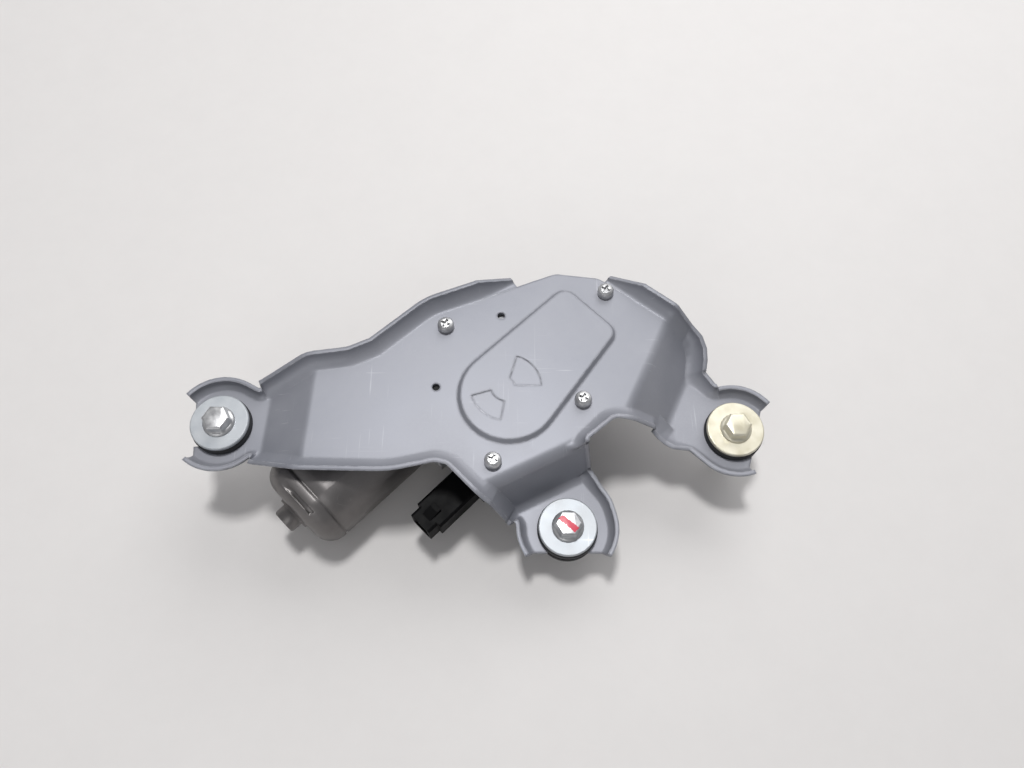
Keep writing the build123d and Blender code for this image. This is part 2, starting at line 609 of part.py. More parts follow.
def gear_housing():
    body = raised(housing_flange(), HOUSING_TOP - FLANGE_THICK, HOUSING_TOP)
    body = body + rod(BOWL_RADIUS + WALL, BOWL_FLOOR - WALL, HOUSING_TOP, WHEEL_X)
    body = body + raised(gallery_outline(WALL), GALLERY_FLOOR - WALL, HOUSING_TOP)
    body = body + along_motor(WORM_TUBE, FLANGE_FACE, TUBE_END)
    body = body + block(-66, -14, WORM_Y - 5, WORM_Y + 5, DRIVE_Z, HOUSING_TOP)
    body = body + rod(OUTPUT_BOSS_RADIUS, OUTPUT_BOSS_END, GALLERY_FLOOR)
    for turn in (20, 110, 200, 290):
        foot, tip = GALLERY_FLOOR - WALL + 0.5, OUTPUT_BOSS_END + 3
        inside, outside = OUTPUT_BOSS_RADIUS - 1, OUTPUT_BOSS_RADIUS + 3.5
        rib = make_face(Polyline((inside, foot), (inside, tip), (OUTPUT_BOSS_RADIUS + 0.6, tip), (outside, foot),
                                 close=True))
        body = body + Rot(0, 0, turn) * extrude(Plane.XZ * rib, 1.0, both=True)
    body = body + rod(WHEEL_PIN + 3, BOWL_FLOOR - WALL - 3, BOWL_FLOOR, WHEEL_X)
    body = body + motor_face(motor_ears(), FLANGE_FACE, FLANGE_PLATE)
    body = body + motor_face(Circle(YOKE_HALF - 5), FLANGE_FACE, FLANGE_PLATE + 8)
    body = body + block(PLUG_BACK, -58, PLUG_Y - 9.5, PLUG_Y + 9.5, DRIVE_Z - 8.4, DRIVE_Z + 8.4)
    for boss in screw_bosses(HOUSING_TOP):
        body = body + boss
    hollow = housing_cavities()
    for boss in screw_bosses(HOUSING_TOP + 5):
        hollow = hollow - boss
    body = body - hollow
    body = body - along_motor(WORM_BORE, FLANGE_FACE - 1, WHEEL_X + WORM_HALF + 3)
    body = body - along_motor(MOTOR_SHAFT + 1.5, WHEEL_X, TUBE_END - 3)
    body = body - rod(BUSH_RADIUS, OUTPUT_BOSS_END - 1, GALLERY_FLOOR + 1)
    body = body - rod(WHEEL_PIN, BOWL_FLOOR - WALL - 2, BOWL_FLOOR + 1, WHEEL_X)
    body = body - block(PLUG_BACK - 1, WHEEL_X - 20, PLUG_Y - 5.5, PLUG_Y + 5.5, DRIVE_Z - 4.2, DRIVE_Z + 4.2)
    for side in (-1, 1):
        y = WORM_Y + side * EAR_REACH
        body = body - along_motor(YOKE_SCREW_RADIUS, FLANGE_FACE - 1, FLANGE_FACE + 20, y)
    for x, y in COVER_SCREWS:
        body = body - rod(SCREW_RADIUS + THREAD_PLAY, SPRING_WASHER_THICK - SCREW_LENGTH, 1, x, y)
    return in_gear_frame(body)


def housing_gasket():
    ring = raised(housing_flange(), HOUSING_TOP, -SHEET)
    hollow = housing_cavities()
    for boss in screw_bosses(HOUSING_TOP + 5):
        hollow = hollow - boss
    ring = ring - hollow
    for x, y in COVER_SCREWS:
        ring = ring - rod(SCREW_HOLE, -5, 0, x, y)
    return in_gear_frame(ring)


def yoke_form(shrink):
    """The can's outside, or its hollow when shrunk by the wall: a deep-drawn end with a rounded shoulder."""
    stations = [(YOKE_END + shrink + along, -inset - shrink) for along, inset in YOKE_SHOULDER]
    sections = [Plane(origin=(x, WORM_Y, DRIVE_Z), x_dir=(0, 1, 0), z_dir=(1, 0, 0)) * motor_outline(grow)
                for x, grow in stations]
    form = motor_face(motor_outline(-shrink), stations[-1][0], FLANGE_FACE - stations[-1][0])
    for low, high in zip(sections, sections[1:]):
        form = form + loft([low, high], ruled=True)
    return form


def motor_yoke():
    can = yoke_form(0)
    can = can + motor_face(motor_ears(), FLANGE_FACE - YOKE_WALL, YOKE_WALL)
    can = can + along_motor(YOKE_BOSS_RADIUS, YOKE_END - YOKE_BOSS_LENGTH, YOKE_END + 1)
    can = can + along_motor(YOKE_BOSS_RADIUS + 1.6, YOKE_END - 2.5, YOKE_END + 1)
    can = can - yoke_form(YOKE_WALL)
    can = can - motor_face(motor_outline(-YOKE_WALL), FLANGE_FACE - YOKE_WALL - 1, YOKE_WALL + 2)
    can = can - along_motor(YOKE_BOSS_RADIUS - YOKE_WALL, YOKE_END - YOKE_BOSS_LENGTH + YOKE_WALL, YOKE_END + 5)
    for side in (-1, 1):
        y = WORM_Y + side * EAR_REACH
        can = can - along_motor(YOKE_SCREW_RADIUS + 0.2, FLANGE_FACE - 5, FLANGE_FACE + 1, y)
        slot = Pos(YOKE_END + 4.2, 0, YOKE_RADIUS - 5) * Box(2.2, YOKE_SLOT, 8)
        can = can - Pos(0, WORM_Y, DRIVE_Z) * Rot(side * 21, 0, 0) * slot
    return in_gear_frame(can)


def yoke_screws():
    screws = []
    for side in (-1, 1):
        y = WORM_Y + side * EAR_REACH
        seat = FLANGE_FACE - YOKE_WALL
        screw = along_motor(YOKE_SCREW_RADIUS, seat - 0.5, FLANGE_FACE + FLANGE_PLATE + 2, y)
        head = Pos(seat - 1.75, y, DRIVE_Z) * Rot(0, 90, 0) * extrude(
            RegularPolygon(4, 6, major_radius=False), 3.5 / 2, both=True)
        screws.append(in_gear_frame(screw + head))
    return screws


def field_magnets():
    ring = motor_outline(-YOKE_WALL) - Circle(MAGNET_INNER)
    far = 40
    magnets = []
    for side in (-1, 1):
        wedge = make_face(Polyline((0, 0), (side * far, far * 0.9), (side * far, -far * 0.9), close=True))
        magnets.append(in_gear_frame(motor_face(ring & wedge, MAGNET_START, MAGNET_LENGTH)))
    return magnets


def armature_core():
    disc = Circle(CORE_RADIUS) - Circle(MOTOR_SHAFT)
    for i in range(SLOTS):
        slot = Pos(9.6, 0) * RegularPolygon(2.9, 6) + Pos(12.6, 0) * Rectangle(5, 1.6)
        disc = disc - Rot(0, 0, i * 360 / SLOTS) * slot
    return in_gear_frame(motor_face(disc, CORE_START, CORE_LENGTH))


def armature_windings():
    bars = Sketch()
    for i in range(SLOTS):
        bars = bars + Rot(0, 0, i * 360 / SLOTS) * (Pos(9.6, 0) * RegularPolygon(2.7, 6))
    core_end = CORE_START + CORE_LENGTH
    coil = motor_face(bars, CORE_START - 1, CORE_LENGTH + 2)
    for start, end in ((CORE_START - COIL_REACH, CORE_START - 0.2), (core_end + 0.2, core_end + COIL_REACH)):
        ring = motor_face(Circle(12.6) - Circle(MOTOR_SHAFT + 0.1), start, end - start)
        ring = chamfer(ring.edges().filter_by(GeomType.CIRCLE).sort_by(SortBy.RADIUS)[-2:], 1.6)
        coil = coil + ring
    return in_gear_frame(coil)


def commutator():
    ring = Circle(COMMUTATOR_RADIUS) - Circle(MOTOR_SHAFT)
    for i in range(SLOTS):
        ring = ring - Rot(0, 0, (i + 0.5) * 360 / SLOTS) * (Pos(COMMUTATOR_RADIUS, 0) * Rectangle(1.6, 0.6))
    return in_gear_frame(motor_face(ring, COMMUTATOR_START, COMMUTATOR_LENGTH))


def thread_width(radius):
    """Half the thread's width along the worm at a radius, with half the play taken off."""
    lead = math.pi * WORM_MODULE
    lean = math.tan(math.radians(PRESSURE_ANGLE))
    return (lead / 2 - TOOTH_PLAY) / 2 - (radius - WORM_PITCH_RADIUS) * lean


def worm_section(x, turned_by):
    """Corners of the worm's cross-section at a place along the motor, its single thread turned by an angle."""
    lead = math.pi * WORM_MODULE
    tip, root = WORM_PITCH_RADIUS + TOOTH_ADDENDUM, WORM_PITCH_RADIUS - TOOTH_DEDENDUM
    half_tip, half_root = 360 * thread_width(tip) / lead, 360 * thread_width(root) / lead
    corners = [(tip, half_tip * (2 * i / WORM_TIP_SIDES - 1)) for i in range(WORM_TIP_SIDES + 1)]
    gap = 360 - 2 * half_root
    corners += [(root, half_root + gap * i / WORM_ROOT_SIDES) for i in range(WORM_ROOT_SIDES + 1)]
    spots = []
    for radius, angle in corners:
        across, up = heading(turned_by + angle)
        spots.append(Vector(x, WORM_Y + radius * across, DRIVE_Z + radius * up))
    return spots


def armature_shaft():
    """Motor shaft with the worm formed in it, skinned with flat triangles between turned cross-sections."""
    lead = math.pi * WORM_MODULE
    start = WHEEL_X - WORM_HALF
    steps = round(WORM_STEPS * 2 * WORM_HALF / lead)
    rings = []
    for k in range(steps + 1):
        x = start + 2 * WORM_HALF * k / steps
        # At the wheel's middle the thread looks away from the wheel, so a gap of the thread faces the tooth.
        rings.append(worm_section(x, 360 * (x - WHEEL_X) / lead))
    skin = [Face(Wire.make_polygon(rings[0])), Face(Wire.make_polygon(rings[-1]))]
    for near, far in zip(rings, rings[1:]):
        for i in range(len(near)):
            skin.append(Face(Wire.make_polygon([near[i], near[i - 1], far[i - 1]])))
            skin.append(Face(Wire.make_polygon([near[i], far[i - 1], far[i]])))
    worm = Solid(Shell(skin))
    rear = YOKE_END - YOKE_BOSS_LENGTH + YOKE_WALL + 0.5
    shaft = along_motor(MOTOR_SHAFT, rear, start + 0.5)
    shaft = shaft + along_motor(MOTOR_SHAFT, WHEEL_X + WORM_HALF - 0.5, TUBE_END - 4.6)
    return in_gear_frame(worm + shaft)


def bearing(outer, start, end):
    ring = along_motor(outer, start, end) - along_motor(MOTOR_SHAFT + RUNNING, start - 1, end + 1)
    return in_gear_frame(ring)


def brush_card():
    start, thick = FLANGE_FACE - 3.2, 2.2
    card = motor_face(motor_outline(-YOKE_WALL - 0.1) - Circle(COMMUTATOR_RADIUS + 1.5), start, thick)
    for side in (-1, 1):
        guide = block(start - 7, start + 0.5, -3.6, 3.6, -3.3, 3.3)
        guide = guide - block(start - 6, start - 0.9, -5, 5, -2.4, 2.4)
        card = card + Pos(0, WORM_Y + side * 13.0, DRIVE_Z) * guide
    return in_gear_frame(card)


def carbon_brushes():
    start = FLANGE_FACE - 3.2
    brushes = []
    for side in (-1, 1):
        near, far = COMMUTATOR_RADIUS + 0.05, COMMUTATOR_RADIUS + 6
        y0, y1 = sorted((WORM_Y + side * near, WORM_Y + side * far))
        brush = block(start - 5.8, start - 1.1, y0, y1, DRIVE_Z - 2.2, DRIVE_Z + 2.2)
        brushes.append(in_gear_frame(brush))
    return brushes


def brush_springs():
    start = FLANGE_FACE - 3.2
    springs = []
    for side in (-1, 1):
        near = COMMUTATOR_RADIUS + 6.1
        y0, y1 = sorted((WORM_Y + side * near, WORM_Y + side * (near + 0.4)))
        leaf = block(start - 5.98, start - 0.92, y0, y1, DRIVE_Z - 1.5, DRIVE_Z + 1.5)
        springs.append(in_gear_frame(leaf))
    return springs


def wheel_tooth():
    """One worm-wheel tooth as a flat face pointing along x, its flanks leaning at the pressure angle."""
    lean = math.tan(math.radians(PRESSURE_ANGLE))
    half = (math.pi * WORM_MODULE / 2 - TOOTH_PLAY) / 2
    tip, root = WHEEL_RADIUS + TOOTH_ADDENDUM, WHEEL_RADIUS - TOOTH_DEDENDUM - 0.3
    tip_half, root_half = half - TOOTH_ADDENDUM * lean, half + (TOOTH_DEDENDUM + 0.3) * lean
    return make_face(Polyline((root, -root_half), (tip, -tip_half), (tip, tip_half), (root, root_half), close=True))


def worm_wheel():
    """Helical worm wheel: rim with teeth, web with lightening holes, hub and crank boss."""
    lead_angle = math.degrees(math.atan2(WORM_MODULE, 2 * WORM_PITCH_RADIUS))
    twist = math.degrees(WHEEL_FACE * math.tan(math.radians(lead_angle)) / WHEEL_RADIUS)
    bottom, top = DRIVE_Z - WHEEL_FACE / 2, DRIVE_Z + WHEEL_FACE / 2
    flat = Circle(WHEEL_RADIUS - TOOTH_DEDENDUM)
    flat = flat + [Rot(0, 0, 90 + i * 360 / WHEEL_TEETH) * wheel_tooth() for i in range(WHEEL_TEETH)]
    lower = (Pos(0, 0, bottom) * Rot(0, 0, -twist / 2) * flat).face()
    upper = (Pos(0, 0, top) * Rot(0, 0, twist / 2) * flat).face()
    wheel = Solid.make_loft([lower.outer_wire(), upper.outer_wire()], ruled=True)
    for z0, z1 in ((bottom - 1, DRIVE_Z - WHEEL_WEB), (DRIVE_Z + WHEEL_WEB, top + 1)):
        wheel = wheel - tube(WHEEL_RADIUS - 4.5, WHEEL_HUB, z0, z1)
    wheel = wheel + rod(WHEEL_HUB, bottom - 0.8, top + HUB_RISE)
    crank_x, crank_y = CRANK_X - WHEEL_X, CRANK_Y
    wheel = wheel + rod(CRANK_PIN + 2.2, DRIVE_Z, top + HUB_RISE, crank_x, crank_y)
    for i in range(6):
        x, y = heading(i * 60 + 5)
        wheel = wheel - rod(2.6, bottom - 2, top + 2, 14.6 * x, 14.6 * y)
    wheel = wheel - rod(WHEEL_PIN + RUNNING, bottom - 2, top + 2)
    wheel = wheel - rod(CRANK_PIN, DRIVE_Z - 1, top + 3, crank_x, crank_y)
    return in_gear_frame(Pos(WHEEL_X, 0, 0) * wheel)


def crank_pin():
    top = GEAR_BOTTOM - LAY_CLEAR
    return in_gear_frame(rod(CRANK_PIN, DRIVE_Z - 1, top, CRANK_X, CRANK_Y))


def clip_heights():
    return WHEEL_PIN_TOP - 1.0, WHEEL_PIN_TOP - 0.4


def wheel_pin():
    pin = rod(WHEEL_PIN, BOWL_FLOOR - WALL - 2, WHEEL_PIN_TOP, WHEEL_X)
    low, high = clip_heights()
    return in_gear_frame(pin - tube(WHEEL_PIN + 1, WHEEL_PIN - 0.6, low, high, WHEEL_X))


def wheel_clip():
    low, high = clip_heights()
    clip = tube(WHEEL_PIN + 1.1, WHEEL_PIN - 0.6, low, high, WHEEL_X)
    return in_gear_frame(clip - Pos(WHEEL_X, 0, 0) * block(0, 9, -1.6, 1.6, low - 1, high + 1))


def park_ring():
    """Contact ring under the wheel's web, cut away over the parking stretch."""
    top = DRIVE_Z - WHEEL_WEB
    ring = tube(RING_OUTER, RING_INNER, top - RING_THICK, top)
    gap = Rot(0, 0, 120) * block(13, RING_OUTER + 1, -5, 5, top - 2, top + 1)
    return in_gear_frame(Pos(WHEEL_X, 0, 0) * (ring - gap))


def park_contacts():
    """Three spring fingers that rise from the housing floor to just under the park ring."""
    top = DRIVE_Z - WHEEL_WEB - RING_THICK - LAY_CLEAR
    foot = BOWL_FLOOR + FINGER_THICK
    side = make_face(Polyline(
        (-9, BOWL_FLOOR), (0, BOWL_FLOOR), (5, top - FINGER_THICK), (7, top - FINGER_THICK), (7, top),
        (4.6, top), (-0.2, foot), (-9, foot), close=True))
    finger = extrude(Plane.XZ * side, FINGER_HALF, both=True)
    return [in_gear_frame(Pos(WHEEL_X, -radius, 0) * finger) for radius in FINGER_RADII]


def involute_tooth(teeth, module, play):
    """A gear tooth as a flat face pointing along x, with involute flanks from the base circle out."""
    pitch = teeth * module / 2
    base = pitch * math.cos(math.radians(PRESSURE_ANGLE))
    tip, root = pitch + 0.95 * module, pitch - 1.2 * module
    foot = max(base, root)

    def spread(radius):
        pressure = math.acos(min(1, base / radius))
        return math.tan(pressure) - pressure

    half = (math.pi * module / 2 - play) / (2 * pitch) + spread(pitch)

    def spot(radius, side):
        angle = side * (half - spread(radius))
        return radius * math.cos(angle), radius * math.sin(angle)

    radii = [foot + (tip - foot) * i / 3 for i in range(4)]
    inside = root - 0.4
    reach = half * foot
    start, stop = (inside, -reach), (inside, reach)
    return make_face(Curve() + [
        Polyline(start, spot(foot, -1)), Spline(*[spot(r, -1) for r in radii]),
        Line(spot(tip, -1), spot(tip, 1)), Spline(*[spot(r, 1) for r in reversed(radii)]),
        Polyline(spot(foot, 1), stop), Line(stop, start)])


def mesh_heading():
    """Direction from the sector gear's axis to the output shaft."""
    return math.degrees(math.atan2(-SECTOR_Y, -SECTOR_X))


def sector_gear():
    """Lever with gear teeth about its pivot and an eye for the crank pin."""
    root = SECTOR_RADIUS - 1.2 * SECTOR_MODULE
    pitch_angle = 360 / SECTOR_TEETH
    first = mesh_heading() - 3.5 * pitch_angle
    shape = Circle(SECTOR_HUB)
    far = 2 * SECTOR_RADIUS
    edges = [(far * heading(first + a)[0], far * heading(first + a)[1]) for a in (-8, 25, 55, 85, 98)]
    shape = shape + (Circle(root) & make_face(Polyline((0, 0), *edges, close=True)))
    tooth = involute_tooth(SECTOR_TEETH, SECTOR_MODULE, TOOTH_PLAY)
    for i in range(5):
        shape = shape + Rot(0, 0, mesh_heading() + (i - 3.5) * pitch_angle + pitch_angle) * tooth
    eye_x, eye_y = CRANK_X - SECTOR_X, CRANK_Y - SECTOR_Y
    arm = Rot(0, 0, LEVER_HEADING) * (Pos(LEVER_LENGTH / 2, 0) * Rectangle(LEVER_LENGTH, 2 * LEVER_HALF_WIDTH))
    shape = shape + arm + Pos(eye_x, eye_y) * Circle(LEVER_EYE)
    shape = shape - Circle(LINK_PIN + RUNNING) - Pos(eye_x, eye_y) * Circle(CRANK_PIN + 0.1)
    solid = raised(shape, GEAR_BOTTOM, GEAR_TOP)
    return in_gear_frame(Pos(SECTOR_X, SECTOR_Y, 0) * solid)


def output_pinion():
    shape = Circle(PINION_RADIUS - 1.2 * SECTOR_MODULE)
    tooth = involute_tooth(PINION_TEETH, SECTOR_MODULE, TOOTH_PLAY)
    towards = mesh_heading() + 180
    for i in range(PINION_TEETH):
        shape = shape + Rot(0, 0, towards + i * 360 / PINION_TEETH) * tooth
    return in_gear_frame(raised(shape - Circle(SHAFT_RADIUS), GEAR_BOTTOM, GEAR_TOP))


def link_heights():
    return ((GEAR_TOP + LAY_CLEAR, GEAR_TOP + LAY_CLEAR + LINK_THICK),
            (GEAR_BOTTOM - LAY_CLEAR - LINK_THICK, GEAR_BOTTOM - LAY_CLEAR))


def link_plates():
    """The two plates that hold the sector gear's pivot at its distance from the output shaft."""
    shape = hull_of((0, 0, 7.2), (SECTOR_X, SECTOR_Y, 6.0)) - Circle(SHAFT_RADIUS + RUNNING)
    shape = shape - Pos(SECTOR_X, SECTOR_Y) * Circle(LINK_PIN)
    return [in_gear_frame(raised(shape, low, high)) for low, high in link_heights()]


def link_rivet():
    (_, top), (bottom, _) = link_heights()
    pin = rod(LINK_PIN, bottom, top, SECTOR_X, SECTOR_Y)
    head = 0.9
    pin = pin + rod(LINK_PIN + 1.4, top, top + head, SECTOR_X, SECTOR_Y)
    return in_gear_frame(pin + rod(LINK_PIN + 1.4, bottom - head, bottom, SECTOR_X, SECTOR_Y))


def output_shaft():
    """Shaft with a ring groove, a plain seat, a taper for the arm and a threaded end."""
    top = link_heights()[0][1] + 0.2
    groove_top = OUTPUT_BOSS_END - 0.9
    groove, groove_low = SHAFT_RADIUS - 0.6, groove_top - 0.7
    seat_end = SEAT_TOP - SEAT_LENGTH
    taper_end = seat_end - TAPER_LENGTH
    thread_top = taper_end - NECK_LENGTH
    tip = 0.7
    return turned([
        (0, top), (SHAFT_RADIUS, top), (SHAFT_RADIUS, groove_top), (groove, groove_top), (groove, groove_low),
        (SHAFT_RADIUS - 0.25, groove_low), (SHAFT_RADIUS - 0.25, SEAT_TOP), (SHAFT_RADIUS, SEAT_TOP),
        (SHAFT_RADIUS, seat_end), (TAPER_END, taper_end),
        (NECK_RADIUS, taper_end), (NECK_RADIUS, thread_top), (THREAD_RADIUS, thread_top),
        (THREAD_RADIUS, REST_Z + tip), (THREAD_RADIUS - tip, REST_Z), (0, REST_Z)])


def shaft_bushing():
    seal_height = 2.6
    return tube(BUSH_RADIUS, SHAFT_RADIUS + RUNNING, OUTPUT_BOSS_END + seal_height + 0.2, GALLERY_FLOOR + 0.4)


def shaft_seal():
    return tube(BUSH_RADIUS, SHAFT_RADIUS + 0.05, OUTPUT_BOSS_END, OUTPUT_BOSS_END + 2.6)


def shaft_washer():
    return tube(BUSH_RADIUS + 1, SHAFT_RADIUS + 0.05, OUTPUT_BOSS_END - 0.8, OUTPUT_BOSS_END - 0.1)


def retaining_ring():
    top = OUTPUT_BOSS_END - 0.9
    ring = tube(SHAFT_RADIUS + 2.2, SHAFT_RADIUS - 0.6, top - 0.7, top)
    return ring - block(0, 9, -2.2, 2.2, top - 3, top + 1)


def connector_housing():
    """Plug shell with an open mouth, a latch, a flange on the housing and a neck into it."""
    low, high = DRIVE_Z - PLUG_HALF_HEIGHT, DRIVE_Z + PLUG_HALF_HEIGHT
    left, right = PLUG_Y - PLUG_HALF_WIDTH, PLUG_Y + PLUG_HALF_WIDTH
    body = block(PLUG_MOUTH + PLUG_NOSE, PLUG_BACK, left, right, low, high)
    nose = block(PLUG_MOUTH, PLUG_BACK, PLUG_Y - PLUG_NOSE_HALF, PLUG_Y + PLUG_NOSE_HALF, low, high)
    shell = chamfer(body.edges().filter_by(Axis.X), 1.0) + chamfer(nose.edges().filter_by(Axis.X), 1.0)
    inner = PLUG_NOSE_HALF - PLUG_WALL
    shell = shell - block(PLUG_MOUTH - 1, PLUG_MOUTH + PLUG_DEPTH, PLUG_Y - inner, PLUG_Y + inner,
                          low + PLUG_WALL, high - PLUG_WALL)
    latch = make_face(Polyline(
        (PLUG_MOUTH + 3, high - 0.2), (PLUG_MOUTH + 8, high + 1.6), (PLUG_MOUTH + 10, high + 1.6),
        (PLUG_MOUTH + 10, high - 0.2), close=True))
    shell = shell + Pos(0, PLUG_Y, 0) * extrude(Plane.XZ * latch, 2.2, both=True)
    flange = block(PLUG_BACK - 3, PLUG_BACK, PLUG_Y - 9, PLUG_Y + 9, DRIVE_Z - 8, DRIVE_Z + 8)
    shell = shell + flange
    neck = block(PLUG_BACK - 1, PLUG_BACK + 7, PLUG_Y - 5.5, PLUG_Y + 5.5, DRIVE_Z - 4.2, DRIVE_Z + 4.2)
    shell = shell + neck
    for y, z in blade_places():
        shell = shell - block(PLUG_MOUTH, PLUG_BACK + 8, y - 0.95, y + 0.95, z - 0.32, z + 0.32)
    return in_gear_frame(shell)


def blade_places():
    return [(PLUG_Y + dy, DRIVE_Z + dz) for dy in (-2.2, 2.2) for dz in (-1.8, 1.8)]


def connector_terminals():
    return [in_gear_frame(block(PLUG_MOUTH + 5, PLUG_BACK + 8, y - 0.95, y + 0.95, z - 0.32, z + 0.32))
            for y, z in blade_places()]


def thrust_pad():
    return in_gear_frame(along_motor(MOTOR_SHAFT + 1.5, TUBE_END - 4.5, TUBE_END - 3))


def written_height(shape):
    return Pos(0, 0, WRITE_LIFT) * shape


def write(name, shapes):
    if isinstance(shapes, (list, tuple)):
        shapes = Compound(children=[part for shape in shapes for part in shape.solids()])
    export_step(written_height(shapes), f"parts/{name}.step")


def main():
    os.makedirs("parts", exist_ok=True)
    write("mounting_bracket", mounting_bracket())
    for side, (lug, level, _) in zip(("left", "right", "bottom"), lugs()):
        place = Pos(*lug, level)
        write(f"grommet_{side}", place * grommet())
        write(f"sleeve_{side}", place * sleeve())
        write(f"washer_{side}", place * lug_washer())
        write(f"bolt_{side}", place * flange_bolt())
    screws = [in_gear_frame(Pos(x, y, 0) * pan_screw()) for x, y in COVER_SCREWS]
    springs = [in_gear_frame(Pos(x, y, 0) * spring_washer()) for x, y in COVER_SCREWS]
    write("bracket_screws", screws)
    write("spring_washers", springs)
    for piece in (gear_housing, housing_gasket, motor_yoke, yoke_screws, field_magnets, armature_core,
                  armature_windings, commutator, armature_shaft, brush_card, carbon_brushes, brush_springs,
                  worm_wheel, crank_pin, wheel_pin, wheel_clip, park_ring, park_contacts, sector_gear,
                  output_pinion, link_plates, link_rivet, output_shaft, shaft_bushing, shaft_seal, shaft_washer,
                  retaining_ring, connector_housing, connector_terminals, thrust_pad):
        write(piece.__name__, piece())
    boss_floor = YOKE_END - YOKE_BOSS_LENGTH + YOKE_WALL
    write("yoke_bearing", bearing(YOKE_BOSS_RADIUS - YOKE_WALL, boss_floor + 1, YOKE_END + 1))
    write("worm_bearing", bearing(WORM_BORE, FLANGE_FACE + 2, FLANGE_FACE + 10))
    write("worm_end_bearing", bearing(MOTOR_SHAFT + 1.5, TUBE_END - 11, TUBE_END - 5))


main()
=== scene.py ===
import json
import math

import bmesh
import bpy
from mathutils import Matrix, Vector


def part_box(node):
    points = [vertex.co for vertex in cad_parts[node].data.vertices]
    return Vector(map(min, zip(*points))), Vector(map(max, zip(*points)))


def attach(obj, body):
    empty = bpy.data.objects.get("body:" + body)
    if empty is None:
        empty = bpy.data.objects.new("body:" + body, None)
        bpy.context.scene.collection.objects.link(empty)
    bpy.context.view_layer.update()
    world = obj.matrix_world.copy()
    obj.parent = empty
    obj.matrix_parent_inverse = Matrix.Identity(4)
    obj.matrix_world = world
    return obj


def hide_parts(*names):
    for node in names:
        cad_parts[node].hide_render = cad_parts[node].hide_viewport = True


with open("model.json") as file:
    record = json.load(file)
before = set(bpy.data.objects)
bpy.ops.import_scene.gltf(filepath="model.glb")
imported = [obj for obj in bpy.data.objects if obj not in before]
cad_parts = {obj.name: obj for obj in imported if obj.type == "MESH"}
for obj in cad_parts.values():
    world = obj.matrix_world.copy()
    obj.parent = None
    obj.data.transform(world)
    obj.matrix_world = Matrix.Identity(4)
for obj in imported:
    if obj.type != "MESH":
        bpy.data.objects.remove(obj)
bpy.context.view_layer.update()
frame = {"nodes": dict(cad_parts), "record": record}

MM = 0.001
nodes = frame["nodes"]
# The part stands on the end of its output shaft.
FLOOR_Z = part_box("output_shaft")[0][2]
# Height of the plate's top face, which the bracket screws' washers and heads stand above.
SCREW_HEAD_RISE = 3.7 * MM
PLATE_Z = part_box("bracket_screws")[1][2] - SCREW_HEAD_RISE
MOTOR_ANGLE = math.radians(45)


# Node groups shared by the finishes

BEVEL_SAMPLES = 6
EDGE_RADIUS = 0.6 * MM
# Each set of scratches: its turn about z, and how the noise is stretched to make long thin marks.
SCRATCH_SETS = ((0.6, (40.0, 1400.0, 300.0)), (2.1, (1200.0, 30.0, 300.0)))
PATCH_SCALE = 55.0
# Spans of a noise's or an edge's value that a mask or a mix runs over.
CLOUD_SPAN = (0.3, 0.7)
GRAIN_SPAN = (0.35, 0.65)
STREAK_SPAN = (0.70, 0.78)
PATCH_SPAN = (0.5, 0.62)
BREAKUP_SPAN = (0.38, 0.62)
EDGE_SPAN = (0.985, 0.86)


def new_group(name, inputs, outputs):
    group = bpy.data.node_groups.new(name, "ShaderNodeTree")
    for label, kind, value in inputs:
        socket = group.interface.new_socket(name=label, in_out="INPUT", socket_type=kind)
        if value is not None:
            socket.default_value = value
    for label, kind in outputs:
        group.interface.new_socket(name=label, in_out="OUTPUT", socket_type=kind)
    into = group.nodes.new("NodeGroupInput")
    out = group.nodes.new("NodeGroupOutput")
    return group, into, out


def link(tree, source, target):
    tree.links.new(source, target)


def math_node(tree, operation, first, second=None, clamp=False):
    node = tree.nodes.new("ShaderNodeMath")
    node.operation = operation
    node.use_clamp = clamp
    for i, value in enumerate((first, second)):
        if value is None:
            continue
        if isinstance(value, (int, float)):
            node.inputs[i].default_value = value
        else:
            link(tree, value, node.inputs[i])
    return node.outputs[0]


def remap(tree, value, low, high, to_low=0.0, to_high=1.0):
    node = tree.nodes.new("ShaderNodeMapRange")
    node.inputs["From Min"].default_value = low
    node.inputs["From Max"].default_value = high
    node.inputs["To Min"].default_value = to_low
    node.inputs["To Max"].default_value = to_high
    link(tree, value, node.inputs["Value"])
    return node.outputs["Result"]


def noise(tree, vector, scale, detail=3.0, roughness=0.55):
    node = tree.nodes.new("ShaderNodeTexNoise")
    node.inputs["Detail"].default_value = detail
    node.inputs["Roughness"].default_value = roughness
    if isinstance(scale, (int, float)):
        node.inputs["Scale"].default_value = scale
    else:
        link(tree, scale, node.inputs["Scale"])
    link(tree, vector, node.inputs["Vector"])
    return node.outputs["Fac"]


def mix_color(tree, factor, first, second):
    node = tree.nodes.new("ShaderNodeMix")
    node.data_type = "RGBA"
    if isinstance(factor, (int, float)):
        node.inputs["Factor"].default_value = factor
    else:
        link(tree, factor, node.inputs["Factor"])
    for value, socket in ((first, node.inputs[6]), (second, node.inputs[7])):
        if isinstance(value, tuple):
            socket.default_value = value
        else:
            link(tree, value, socket)
    return node.outputs[2]


